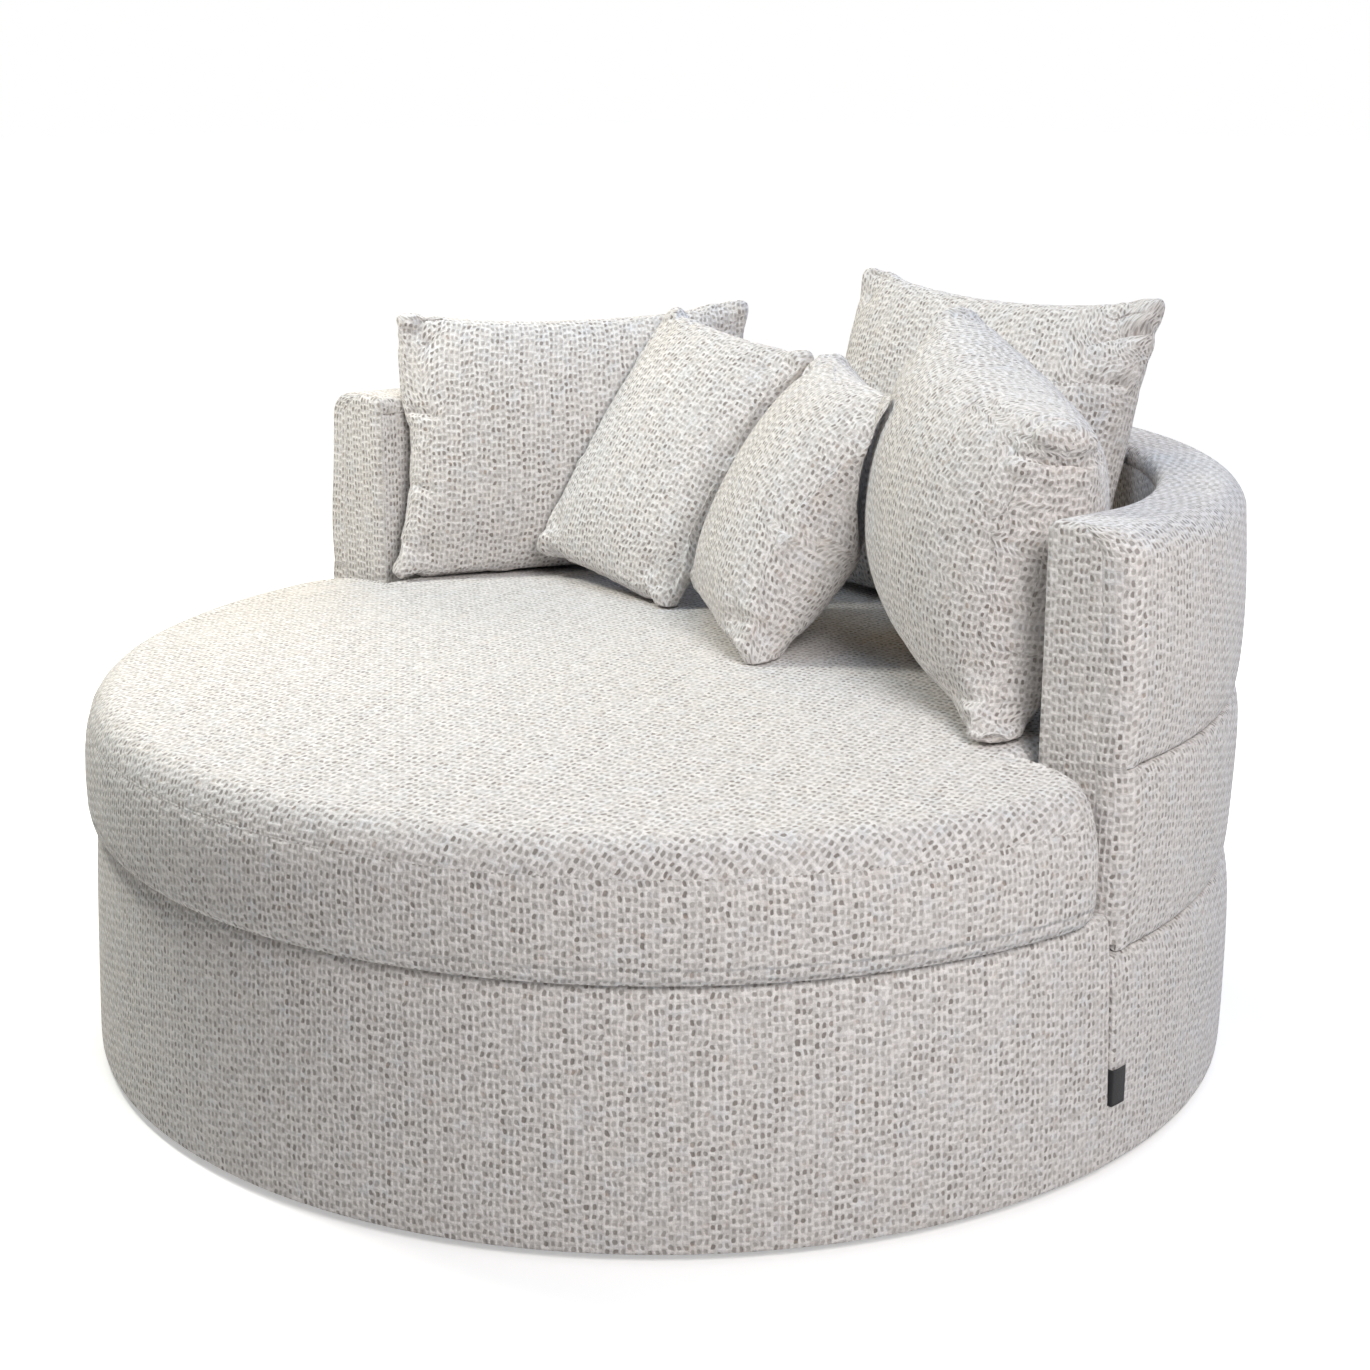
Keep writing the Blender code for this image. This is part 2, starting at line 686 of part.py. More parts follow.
def press(points, behind):
    # Pushes points that would lie inside the cushion behind out along that one's normal,
    # until they stand press_gap before its face
    right, rise, normal = pillow_frame(behind)
    half_width = behind["span"] * shell_inner_radius / 2
    axes = np.column_stack((right * half_width, rise * behind["height"] / 2, normal))
    foot = pillow_foot(behind)
    places = np.linalg.solve(axes, (points - foot).T).T
    x, y = places[:, 0], places[:, 1] - 1
    over = (np.abs(x) < 1) & (np.abs(y) < 1)
    face = pillow_face(behind, np.clip(x, -1, 1), np.clip(y, -1, 1)) + press_gap
    places[:, 2] = np.where(over, np.maximum(places[:, 2], face), places[:, 2])
    return foot + places @ axes.T


def settle(points):
    # Presses a cushion onto the seat's crown below it and against the shell's inside
    limit = shell_inner_radius * flat - rest_gap
    behind = points[:, 1] > 0
    reach = np.hypot(points[:, 0], np.where(behind, points[:, 1], 0))
    beside = (reach > limit) & (points[:, 2] < shell_height + rest_gap)
    scale = np.where(beside, limit / np.maximum(reach, limit), 1.0)
    points[:, 0] *= scale
    points[:, 1] *= np.where(behind, scale, 1.0)
    floor = seat_height(points[:, 0], points[:, 1]) + rest_gap
    points[:, 2] = np.maximum(points[:, 2], floor)
    return points


def make_pillow(name, size):
    mesh = bpy.data.meshes.new(name)
    shape = bmesh.new()
    for side in (1, -1):
        sheet = bmesh.ops.create_grid(shape, x_segments=pillow_cells, y_segments=pillow_cells, size=1.0)
        verts = sheet["verts"]
        flat_places = np.clip(np.array([vert.co[:2] for vert in verts]), -1, 1)
        places = pillow_points(size, flat_places[:, 0], flat_places[:, 1], side)
        for vert, place in zip(verts, places):
            vert.co = place
        if side < 0:
            back = [face for face in shape.faces if face.verts[0] in set(verts)]
            bmesh.ops.reverse_faces(shape, faces=back)
    bmesh.ops.remove_doubles(shape, verts=shape.verts, dist=0.00005)
    shape.to_mesh(mesh)
    shape.free()
    item = add_object(name, mesh, "weave")
    item.data.shade_smooth()


clear_scene()
parts = new_collection("round_loveseat")
cutters = new_collection("cutters")

make_glides()
make_dust_cover()
make_base_frame()
make_webbing()
make_drum_cover()
make_shell_frame()
make_shell_cover()
make_label()
make_deck_pad()
make_seat()
for cushion_name, cushion_size in scatter_cushions.items():
    make_pillow(cushion_name, cushion_size)
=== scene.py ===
import json
import math
from functools import partialmethod
import bpy
import numpy as np
from mathutils import Matrix


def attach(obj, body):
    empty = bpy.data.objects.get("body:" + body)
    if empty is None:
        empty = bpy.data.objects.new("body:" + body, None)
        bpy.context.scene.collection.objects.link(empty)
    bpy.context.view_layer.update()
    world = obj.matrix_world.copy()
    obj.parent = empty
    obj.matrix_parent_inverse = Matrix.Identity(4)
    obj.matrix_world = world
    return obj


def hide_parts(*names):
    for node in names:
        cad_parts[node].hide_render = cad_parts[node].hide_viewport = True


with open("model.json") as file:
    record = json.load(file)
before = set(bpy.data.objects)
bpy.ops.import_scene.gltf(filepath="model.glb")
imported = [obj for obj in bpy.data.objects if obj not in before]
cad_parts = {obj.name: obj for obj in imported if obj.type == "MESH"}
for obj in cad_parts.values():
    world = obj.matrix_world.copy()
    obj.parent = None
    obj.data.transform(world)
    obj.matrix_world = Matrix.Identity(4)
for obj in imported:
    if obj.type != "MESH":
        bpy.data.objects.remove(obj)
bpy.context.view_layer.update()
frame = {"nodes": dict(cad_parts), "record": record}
scene = bpy.context.scene
print("frame loaded:", len(frame["nodes"]), "nodes")


# Node helpers. A Value wraps a shader socket, and each sum with it adds a Math node.

def addNode(tree, kind, **settings):
    made = tree.nodes.new(kind)
    for name, value in settings.items():
        setattr(made, name, value)
    return made


def put(socket, value):
    # Links a Value, or sets a plain number or tuple, a colour without its alpha
    if isinstance(value, Value):
        socket.id_data.links.new(value.socket, socket)
    else:
        socket.default_value = (*value, 1.0) if socket.type == "RGBA" else value


def setInputs(node, values):
    for name, value in values.items():
        put(node.inputs[name], value)


class Value:
    def __init__(self, socket):
        self.socket = socket
        self.tree = socket.id_data

    def calc(self, operation, *others):
        made = addNode(self.tree, "ShaderNodeMath", operation=operation)
        for socket, value in zip(made.inputs, (self, *others)):
            put(socket, value)
        return Value(made.outputs[0])

    __add__ = partialmethod(calc, "ADD")
    __sub__ = partialmethod(calc, "SUBTRACT")
    __mul__ = partialmethod(calc, "MULTIPLY")
    __truediv__ = partialmethod(calc, "DIVIDE")
    __mod__ = partialmethod(calc, "FLOORED_MODULO")
    __pow__ = partialmethod(calc, "POWER")
    __abs__ = partialmethod(calc, "ABSOLUTE")


def parted(value):
    made = addNode(value.tree, "ShaderNodeSeparateXYZ")
    put(made.inputs[0], value)
    return [Value(socket) for socket in made.outputs]


def smoothRange(value, low, high, toLow=0.0, toHigh=1.0):
    made = addNode(value.tree, "ShaderNodeMapRange", interpolation_type="SMOOTHSTEP")
    setInputs(made, {"Value": value, "From Min": low, "From Max": high, "To Min": toLow, "To Max": toHigh})
    return Value(made.outputs["Result"])


def noise(place, scale, detail=2.0, roughness=0.5, stretch=None):
    if stretch:
        turned = addNode(place.tree, "ShaderNodeMapping")
        setInputs(turned, {"Vector": place, "Scale": stretch})
        place = Value(turned.outputs["Vector"])
    made = addNode(place.tree, "ShaderNodeTexNoise")
    setInputs(made, {"Vector": place, "Scale": scale, "Detail": detail, "Roughness": roughness})
    return Value(made.outputs["Fac"])


def blendColours(share, first, second, mode="MIX"):
    tree = next(value.tree for value in (share, first, second) if isinstance(value, Value))
    made = addNode(tree, "ShaderNodeMix", data_type="RGBA", blend_type=mode)
    for index, value in ((0, share), (6, first), (7, second)):
        put(made.inputs[index], value)
    return Value(made.outputs[2])


def newMaterial(name, roughness, specular=0.3, sheen=0.0):
    material = bpy.data.materials.new(name)
    material.use_nodes = True
    setInputs(material.node_tree.nodes["Principled BSDF"], {
        "Roughness": roughness, "Specular IOR Level": specular, "Sheen Weight": sheen, "Sheen Roughness": 0.6})
    return material


def dress(material, colour, height, distance, strength):
    # Joins a colour, and a bump from a height, to the material's shader
    tree = material.node_tree
    bump = addNode(tree, "ShaderNodeBump")
    setInputs(bump, {"Strength": strength, "Distance": distance, "Height": height})
    setInputs(tree.nodes["Principled BSDF"], {"Base Color": colour, "Normal": Value(bump.outputs["Normal"])})
    return material


def clothPlace(material):
    return Value(addNode(material.node_tree, "ShaderNodeUVMap", uv_map="cloth").outputs["UV"])


def objectPlace(material):
    return Value(addNode(material.node_tree, "ShaderNodeTexCoord").outputs["Object"])


# Basket weave, read from each piece's own "cloth" map, which is in metres. The tuples of a scale
# are (across, along, 1); a range is the four numbers of smoothRange.
weave = {
    "rib": 0.0074, "row": 0.0113, "ribsInBand": 3,
    "wanderAcross": 0.0085, "wanderAlong": 0.0068, "wanderScales": (70.0, 80.0),
    "gapHalfWidth": 0.59, "gapHalfHeight": 0.55, "gapChange": 0.16, "edgeSoftness": 0.75, "corner": 3.0,
    "fadeInBand": -0.11, "fadeByCell": (0.0, 1.0, 0.58, 1.05), "streakScale": (46.0, 10.0, 1.0),
    "fadeByStreak": (0.36, 0.60, 0.66, 1.06),
    "thread": (0.87, 0.842, 0.830), "threadGrey": (0.64, 0.612, 0.597),
    "warpScale": (230.0, 52.0, 1.0), "weftScale": (66.0, 240.0, 1.0), "greyRange": (0.80, 1.22),
    "warmThread": (0.80, 0.740, 0.690), "coolThread": (0.75, 0.775, 0.82), "tintScale": 34.0,
    "warmRange": (0.52, 0.70, 0.0, 0.30), "coolRange": (0.46, 0.32, 0.0, 0.30),
    # gap: partly the darker yarn between the threads, partly painted shade in the sunk gaps
    "gap": (0.262, 0.234, 0.214), "fleck": (0.50, 0.39, 0.320), "fleckScale": 64.0, "fleckRange": (0.58, 0.72),
    "fleckOnThread": 0.16, "fleckInGap": 0.55, "fibreScale": 760.0, "fibreShade": (0.25, 0.75, 0.86, 1.07),
    "bumpHeight": 0.0017, "bumpStrength": 0.62,
}


def weaveMaterial():
    w = weave
    material = newMaterial("basketWeave", 0.92, 0.2, 0.35)
    cloth = clothPlace(material)
    x, y, _ = parted(cloth)
    # threads wander a little: two noises shift the place that is read
    scales = w["wanderScales"]
    across = (noise(cloth, scales[0], stretch=(0.6, 1.0, 1.0)) - 0.5) * w["wanderAcross"] + x
    along = (noise(cloth, scales[1], stretch=(1.0, 0.6, 1.0)) - 0.5) * w["wanderAlong"] + y
    rib = across / w["rib"]
    row = along / w["row"] + ((rib / w["ribsInBand"]).calc("FLOOR") % 2.0) * 0.5
    # 0 in the middle of a gap and 1 on the middle of the threads round it
    fromSide, fromEnd = (abs(value.calc("FRACT") - 0.5) * 2.0 for value in (rib, row))
    # every cell has its own chances: how wide, how long and how dark its gap is
    cell = addNode(cloth.tree, "ShaderNodeCombineXYZ")
    setInputs(cell, {"X": rib.calc("FLOOR"), "Y": row.calc("FLOOR")})
    chance = addNode(cloth.tree, "ShaderNodeTexWhiteNoise", noise_dimensions="2D")
    put(chance.inputs["Vector"], Value(cell.outputs[0]))
    chances = parted(Value(chance.outputs["Color"]))
    wide = chances[0] * w["gapChange"] + (w["gapHalfWidth"] - w["gapChange"] / 2)
    tall = chances[1] * w["gapChange"] + (w["gapHalfHeight"] - w["gapChange"] / 2)
    # a gap is a soft rounded oblong: (|x| / wide) ^ corner + (|y| / tall) ^ corner below 1
    rim = (fromSide / wide) ** w["corner"] + (fromEnd / tall) ** w["corner"]
    hollow = smoothRange(rim, 1 - w["edgeSoftness"], 1 + w["edgeSoftness"], 1.0, 0.0)
    # depth sets both how far a gap sinks in the bump and how dark its painted shade is, band by band, cell by cell
    # and in streaks
    byPlace = (rib % w["ribsInBand"]).calc("FLOOR") * w["fadeInBand"] + 1.0
    byStreak = smoothRange(noise(cloth, 1.0, 2.0, 0.6, w["streakScale"]), *w["fadeByStreak"])
    depth = byPlace * smoothRange(chances[2], *w["fadeByCell"]) * byStreak
    hollow = (hollow * depth).calc("MINIMUM", 1.0)
    # colour: thread by thread, with grey streaks and taupe flecks; the dark gap colour is partly the darker yarn
    # between the threads and partly painted shade in the sunk gaps
    tone = noise(cloth, 1.0, 1.0, 0.5, w["warpScale"]) + noise(cloth, 1.0, 1.0, 0.5, w["weftScale"])
    thread = blendColours(smoothRange(tone, *w["greyRange"]), w["threadGrey"], w["thread"])
    tint = noise(cloth, w["tintScale"], 2.0, 0.6)
    thread = blendColours(smoothRange(tint, *w["warmRange"]), thread, w["warmThread"])
    thread = blendColours(smoothRange(tint, *w["coolRange"]), thread, w["coolThread"])
    fleckHere = smoothRange(noise(cloth, w["fleckScale"], 1.5, 0.6), *w["fleckRange"])
    thread = blendColours(fleckHere * w["fleckOnThread"], thread, w["fleck"])
    # the gaps' colour: partly darker yarn, partly painted shade in the hollows, with taupe flecks
    gapYarnAndShade = blendColours(fleckHere * w["fleckInGap"], w["gap"], w["fleck"])
    fibres = noise(cloth, w["fibreScale"], 2.0, 0.7)
    colour = blendColours(hollow, thread, gapYarnAndShade)
    colour = blendColours(1.0, colour, smoothRange(fibres, *w["fibreShade"]), "MULTIPLY")
    # height: round threads with the gaps sunk between them
    swell = (fromSide ** 1.5).calc("MAXIMUM", fromEnd ** 1.8)
    height = fibres * 0.30 + (swell * 0.8 - hollow * 0.6)
    return dress(material, colour, height, w["bumpHeight"], w["bumpStrength"])


def woodMaterial(name, light, dark, grain):
    # Grain along Z: long rings, with pores over them
    material = newMaterial(name, 0.6)
    place = objectPlace(material)
    rings = noise(place, grain, 4.0, 0.6, (1.0, 1.0, 0.12))
    pores = noise(place, grain * 9, 2.0, 0.6, (1.0, 1.0, 0.05))
    share = smoothRange(pores * 0.35 + rings, 0.45, 0.95)
    return dress(material, blendColours(share, light, dark), pores, 0.0003, 0.5)


def plyMaterial(name, light, dark):
    # Plies 1.5 mm thick up Z, under a broad grain
    material = newMaterial(name, 0.65)
    place = objectPlace(material)
    plies = smoothRange(parted(place)[2].calc("PINGPONG", 0.0015), 0.0005, 0.0010)
    share = plies * 0.45 + noise(place, 14.0, 3.0, 0.6, (0.3, 2.6, 1.0)) * 0.6
    return dress(material, blendColours(share, light, dark), share, 0.0002, 0.4)


def speckledMaterial(name, light, dark, scale, roughness, bumpHeight):
    # Foam cells, moulded plastic or pressed fibres: fine noise over a broader one
    material = newMaterial(name, roughness)
    place = objectPlace(material)
    fine = noise(place, scale, 3.0, 0.65)
    share = smoothRange(noise(place, scale / 40) * 0.5 + fine, 0.45, 1.05)
    return dress(material, blendColours(share, dark, light), fine, bumpHeight, 0.6)


def threadMaterial(name, light, dark, pitch, roughness):
    # Plain weave of tapes and thin cloths on the "cloth" map
    material = newMaterial(name, roughness, 0.3, 0.1)
    cloth = clothPlace(material)
    waves = [(value * (2 * math.pi / pitch)).calc("SINE") for value in parted(cloth)[:2]]
    share = noise(cloth, 1.2 / pitch) * 0.4 + smoothRange(waves[0] * waves[1], -0.8, 0.8) * 0.6
    return dress(material, blendColours(share, dark, light), share, pitch * 0.4, 0.7)


finishes = {
    "weave": weaveMaterial(),
    "plywood": plyMaterial("birchPly", (0.66, 0.50, 0.31), (0.40, 0.26, 0.14)),
    "timber": woodMaterial("pine", (0.70, 0.52, 0.31), (0.48, 0.30, 0.15), 26.0),
    "hardboard": speckledMaterial("hardboard", (0.36, 0.23, 0.13), (0.24, 0.15, 0.08), 420.0, 0.7, 0.0003),
    "foam": speckledMaterial("foam", (0.86, 0.80, 0.60), (0.74, 0.66, 0.46), 520.0, 0.95, 0.0008),
    "black_plastic": speckledMaterial("mouldedPlastic", (0.035, 0.035, 0.036), (0.020, 0.020, 0.021),
                                      900.0, 0.45, 0.0001),
    "webbing": threadMaterial("webbing", (0.16, 0.15, 0.14), (0.05, 0.05, 0.05), 0.0032, 0.85),
    "dust_cloth": threadMaterial("dustCloth", (0.055, 0.055, 0.056), (0.025, 0.025, 0.025), 0.0016, 0.95),
    "black_tape": threadMaterial("blackTape", (0.018, 0.018, 0.021), (0.007, 0.007, 0.008), 0.0011, 0.75),
    "lining": threadMaterial("platformCloth", (0.40, 0.37, 0.33), (0.27, 0.25, 0.22), 0.0021, 0.95),
}
print("materials ready")


# Mesh helpers

def meshFrom(name, points, corners, sizes, cloth, material, flat=0):
    # points (n, 3); corners: point numbers of every face in a row; sizes: corners of each face;
    # cloth (corners, 2): the map in metres. Faces are turned to point outwards by the volume's sign.
    # The last `flat` faces are walls and caps, shaded flat.
    points = np.asarray(points, float)
    starts = np.concatenate(([0], np.cumsum(sizes)[:-1]))
    fanFirst = np.repeat(corners[starts], sizes)
    following = np.roll(corners, -1)
    volume = np.einsum("ij,ij->", points[fanFirst], np.cross(points[corners], points[following]))
    if volume < 0:
        order = np.concatenate([np.arange(a + s - 1, a - 1, -1) for a, s in zip(starts, sizes)])
        corners, cloth = corners[order], cloth[order]
    mesh = bpy.data.meshes.new(name)
    mesh.vertices.add(len(points))
    mesh.vertices.foreach_set("co", points.astype(np.float32).ravel())
    mesh.loops.add(len(corners))
    mesh.loops.foreach_set("vertex_index", corners.astype(np.int32))
    mesh.polygons.add(len(sizes))
    mesh.polygons.foreach_set("loop_start", starts.astype(np.int32))
    mesh.polygons.foreach_set("use_smooth", np.arange(len(sizes)) < len(sizes) - flat)
    mesh.uv_layers.new(name="cloth").data.foreach_set("uv", cloth.astype(np.float32).ravel())
    mesh.update(calc_edges=True)
    mesh.validate()
    mesh.materials.append(material)
    piece = bpy.data.objects.new(name, mesh)
    scene.collection.objects.link(piece)
    return piece


def gridFaces(rows, columns, wrap=False):
    # Quads of a grid of points, and where each corner lies on the grid for its map
    i, j = np.meshgrid(np.arange(rows - 1), np.arange(columns if wrap else columns - 1), indexing="ij")
    places = np.stack([np.stack([i, j], -1), np.stack([i + 1, j], -1),
                       np.stack([i + 1, j + 1], -1), np.stack([i, j + 1], -1)], 2).reshape(-1, 2)
    return places[:, 0] * columns + places[:, 1] % columns, places


def cappedRings(rows, count):
    # Quads between closed rings of points, then a flat cap on the first ring and on the last
    corners, places = gridFaces(rows, count, wrap=True)
    caps = np.concatenate([np.arange(count)[::-1], (rows - 1) * count + np.arange(count)])
    sizes = np.concatenate([np.full(len(corners) // 4, 4), [count, count]])
    return corners, places, caps, sizes


def ringsPiece(name, rings, material):
    rows, count = rings.shape[:2]
    corners, _, caps, sizes = cappedRings(rows, count)
    points = rings.reshape(-1, 3)
    corners = np.concatenate([corners, caps])
    return meshFrom(name, points, corners, sizes, points[corners][:, :2], material)


def slab(name, front, back, cloth, material):
    # Closed piece from two facing grids of points and a wall round their edges
    rows, columns = front.shape[:2]
    count = rows * columns
    faces, places = gridFaces(rows, columns)
    backFaces = faces.reshape(-1, 4)[:, ::-1].ravel() + count
    flipped = places.reshape(-1, 4, 2)[:, ::-1].reshape(-1, 2)
    number = np.arange(count).reshape(rows, columns)
    rim = np.concatenate([number[0, :-1], number[:-1, -1], number[-1, :0:-1], number[:0:-1, 0]])
    after = np.roll(rim, -1)
    wall = np.stack([rim, rim + count, after + count, after], -1)
    flatCloth = cloth.reshape(-1, 2)
    points = np.concatenate([front.reshape(-1, 3), back.reshape(-1, 3)])
    # the map of a wall goes on outwards from the edge of the face
    depth = np.linalg.norm(points[rim] - points[rim + count], axis=1)
    outward = flatCloth - flatCloth.mean(0)
    outward /= np.maximum(np.linalg.norm(outward, axis=1), 1e-6)[:, None]
    wallCloth = np.stack([flatCloth[rim], flatCloth[rim] + outward[rim] * depth[:, None],
                          flatCloth[after] + outward[after] * np.roll(depth, -1)[:, None], flatCloth[after]], 1)
    corners = np.concatenate([faces, backFaces, wall.ravel()])
    both = np.concatenate([cloth[places[:, 0], places[:, 1]], cloth[flipped[:, 0], flipped[:, 1]],
                           wallCloth.reshape(-1, 2)])
    return meshFrom(name, points, corners, np.full(len(corners) // 4, 4), both, material, len(rim))


def finishPiece(piece, body, replaced):
    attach(piece, body)
    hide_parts(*replaced)


def onShell(piece, node):
    finishPiece(piece, "frame_and_shell", [node])


def softNoise(x, y, seed):
    # Broad, shallow unevenness: a few sine waves in turned directions, between -1 and 1
    total = 0
    for k in range(5):
        turn = seed * 1.7 + k * 2.4
        pace = 6.0 + 5.5 * k
        total = total + np.sin(pace * (x * math.cos(turn) + y * math.sin(turn)) + seed * 3.1 + k) / (1 + k)
    return total / 2.28


def eased(count):
    return 0.5 - 0.5 * np.cos(np.pi * np.arange(count) / (count - 1))


def smoothly(share):
    share = np.clip(share, 0, 1)
    return share * share * (3 - 2 * share)


def between(value, low, high):
    # The share that a value has covered of the way from low to high
    return np.clip((value - low) / (high - low), 0, 1)


def roundedBy(radius, distance):
    # How far a quarter circle stands back at a distance from the edge: r - sqrt(r^2 - (r - d)^2)
    return radius - np.sqrt(radius ** 2 - np.clip(radius - distance, 0, radius) ** 2)


def onCircle(radius, turn, centre=(0.0, 0.0)):
    return np.stack([centre[0] + radius * np.cos(turn), centre[1] + radius * np.sin(turn)], -1)


def running(steps, axis):
    # Lengths summed along an axis, from 0
    return np.concatenate([np.zeros_like(np.take(steps, [0], axis)), np.cumsum(steps, axis)], axis)


# Drum and shell. A crease is half of a tuck seam's slit; the fades are lengths round the shell
# from an arm's front; cornerRound is the right arm's outer corner, then the left one's.
shell = {
    "innerRadius": 0.629, "innerRound": 0.016, "padThickness": 0.023, "padTop": 0.718, "padFoot": 0.279,
    "padDraw": 0.003, "joint": 0.0003, "topRadius": 0.7415, "height": 0.743, "outerRound": 0.044,
    "seamLow": 0.266, "seamHigh": 0.482, "crease": 0.0006, "seamLowRadius": 0.742, "seamHighRadius": 0.743,
    "tuck": 0.0130, "tuckPower": 4.0, "tuckEndShare": 0.12, "tuckFadeLength": 0.028,
    "swell": 0.0045, "lowerLift": 0.6, "middleLift": 0.45, "waviness": 0.0010, "seamEndRound": 0.003,
    "rollFoot": 0.2753, "rollInnerRadius": 0.6992, "hemRadius": 0.750, "hemHeight": 0.010, "hemRound": 0.004,
    "frontY": 0.0006, "armThickness": 0.0141, "armRound": 0.009, "armTopRound": 0.0095, "armFoot": 0.2754,
    "armJoint": 0.0001, "cornerRound": (0.034, 0.0141), "armSeamInset": 0.041, "armSeamDepth": 0.0011,
    "armSeamWidth": 0.0026, "armInward": 0.009, "armInwardFade": 0.15, "armLift": 0.007, "armLiftFade": 0.30,
    "leftArmOutward": 0.010, "leftArmFade": 0.18,
}
drum = {"coverInner": 0.7156, "top": 0.313, "creaseRadius": 0.737, "edgeRound": 0.013, "seamGap": 0.0003,
        "swell": 0.001, "power": 6.0, "waviness": 0.0008}
backStart = math.asin((shell["frontY"] + shell["armThickness"] + shell["armJoint"]) / shell["topRadius"])


def stuffedSide(share, high, low, highRadius, lowRadius, highTuck, lowTuck, swell, power, lift=1.0):
    # radius = straight taper + swell sin(pi s^lift) - tuck (1 - (1 - |2 s - 1|^p)^(1/p)), height straight
    reach = np.abs(2 * share - 1)
    pull = 1 - np.maximum(1 - reach ** power, 0) ** (1 / power)
    tuck = np.where(share < 0.5, highTuck, lowTuck)
    radius = highRadius + (lowRadius - highRadius) * share + swell * np.sin(math.pi * share ** lift) - tuck * pull
    return radius, high + (low - high) * share + 0 * radius


def lowerSide(share, tuck):
    s = shell
    return stuffedSide(share, s["seamLow"] - s["crease"], s["hemHeight"], s["seamLowRadius"], s["hemRadius"],
                       tuck, s["hemRound"], s["swell"], s["tuckPower"], s["lowerLift"])


def middleSide(share, tuck):
    s = shell
    return stuffedSide(share, s["seamHigh"] - s["crease"], s["seamLow"] + s["crease"], s["seamHighRadius"],
                       s["seamLowRadius"], tuck, tuck, s["swell"], s["tuckPower"], s["middleLift"])


def upperSide(share, tuck):
    s = shell
    return stuffedSide(share, s["height"] - 1.3 * s["outerRound"], s["seamHigh"] + s["crease"], s["topRadius"],
                       s["seamHighRadius"], 0.0, tuck, s["swell"], s["tuckPower"])


def upperHead():
    # Inner lip's quarter circle, and the top with its outer corner, as radii and heights
    s = shell
    inner = onCircle(s["innerRound"], np.radians(np.linspace(180, 90, 9)),
                     (s["innerRadius"] + s["innerRound"], s["height"] - s["innerRound"]))
    outer = onCircle(s["outerRound"], np.radians(np.linspace(90, 18, 16)),
                     (s["topRadius"] - s["outerRound"], s["height"] - s["outerRound"]))
    return inner, outer


def armShift(radius, height, far, left):
    # Near their fronts the arms lean a little over the seat; the left one swells outwards low down
    s = shell
    inward = smoothly((height - 0.430) / 0.03) * (1 - smoothly(far / s["armInwardFade"]))
    shift = -s["armInward"] * inward * between(radius, 0.650, 0.638)
    outward = smoothly((0.66 - height) / 0.15) * smoothly((height - 0.28) / 0.08)
    outward = outward * (1 - smoothly(left / s["leftArmFade"]))
    return shift + s["leftArmOutward"] * outward * between(radius, 0.70, 0.72)


def armRise(height, far):
    # and their tops stand a little higher there
    return shell["armLift"] * between(height, 0.66, 0.71) * (1 - smoothly(far / shell["armLiftFade"]))


def roundPiece(name, angles, radius, height, inner, waviness, seed, endRound=None, endStart=0.0):
    # An outline of radii and heights (angles x points), closed by the inner (radius, height) points
    # and carried round Z. endRound has two radii: quarter circles begun endStart before the right
    # and the left end draw the outer points in.
    outer = radius.shape[1]
    more = np.repeat(np.array(inner)[None], len(angles), 0)
    radius, height = (np.concatenate([a, more[:, :, k]], 1) for k, a in enumerate((radius, height)))
    fromRight = (angles - angles[0])[:, None] * shell["topRadius"]
    fromLeft = (angles[-1] - angles)[:, None] * shell["topRadius"]
    far = np.minimum(fromRight, fromLeft)
    if endStart:
        radius += armShift(radius, height, far, fromLeft)
        height = height + armRise(height, far)
    if endRound:
        drawn = roundedBy(endRound[0], fromRight + endStart) + roundedBy(endRound[1], fromLeft + endStart)
        radius[:, :outer] -= drawn * between(radius[:, :outer], 0.665, 0.700)
    wave = softNoise(angles[:, None] * 0.74, height[:, :outer], seed)
    radius[:, :outer] += waviness * smoothly(far / 0.05) * wave
    points = np.stack([radius * np.cos(angles)[:, None], radius * np.sin(angles)[:, None], height], -1)
    corners, places, caps, sizes = cappedRings(*radius.shape)
    step = np.hypot(np.diff(radius, axis=1, append=radius[:, :1]), np.diff(height, axis=1, append=height[:, :1]))
    along = height[:, :1] - running(step, 1)
    across = np.repeat((angles * shell["topRadius"])[:, None], along.shape[1], 1)
    cloth = np.stack([across, along], -1)[places[:, 0], places[:, 1]]
    capCloth = np.stack([radius, height], -1).reshape(-1, 2)[caps]
    return meshFrom(name, points.reshape(-1, 3), np.concatenate([corners, caps]), sizes,
                    np.concatenate([cloth, capCloth]), finishes["weave"], 2)


def halfTurn(start, count):
    # Angles from the right end to the left one, closer together near both for the rounded seams
    close = np.array([0.0003, 0.0006, 0.0010, 0.0015, 0.0022, 0.0031, 0.0045, 0.0060, 0.0080, 0.0105, 0.0132])
    return start + (np.pi - 2 * start) * np.unique(np.concatenate([np.linspace(0, 1, count), close, 1 - close]))


def makeBand():
    d, s = drum, shell
    angles = halfTurn(math.asin(d["seamGap"] / 2 / d["creaseRadius"]), 260)
    side = stuffedSide(eased(44)[None], d["top"], s["hemHeight"], d["creaseRadius"], s["hemRadius"],
                       d["edgeRound"], s["hemRound"], d["swell"], d["power"])
    radius, height = (np.repeat(a, len(angles), 0) for a in side)
    inner = [(d["coverInner"], s["hemHeight"]), (d["coverInner"], d["top"])]
    band = roundPiece("frontBandCover", np.pi + angles, radius, height, inner, d["waviness"], 2.0,
                      (s["seamEndRound"], s["seamEndRound"]))
    onShell(band, "front_band")


def rollTuck(angles):
    # The tuck fades out towards the arms
    s = shell
    far = np.minimum(angles - angles[0], angles[-1] - angles) * s["topRadius"]
    fade = smoothly(far / s["tuckFadeLength"])[:, None]
    return s["tuck"] * (s["tuckEndShare"] + (1 - s["tuckEndShare"]) * fade)


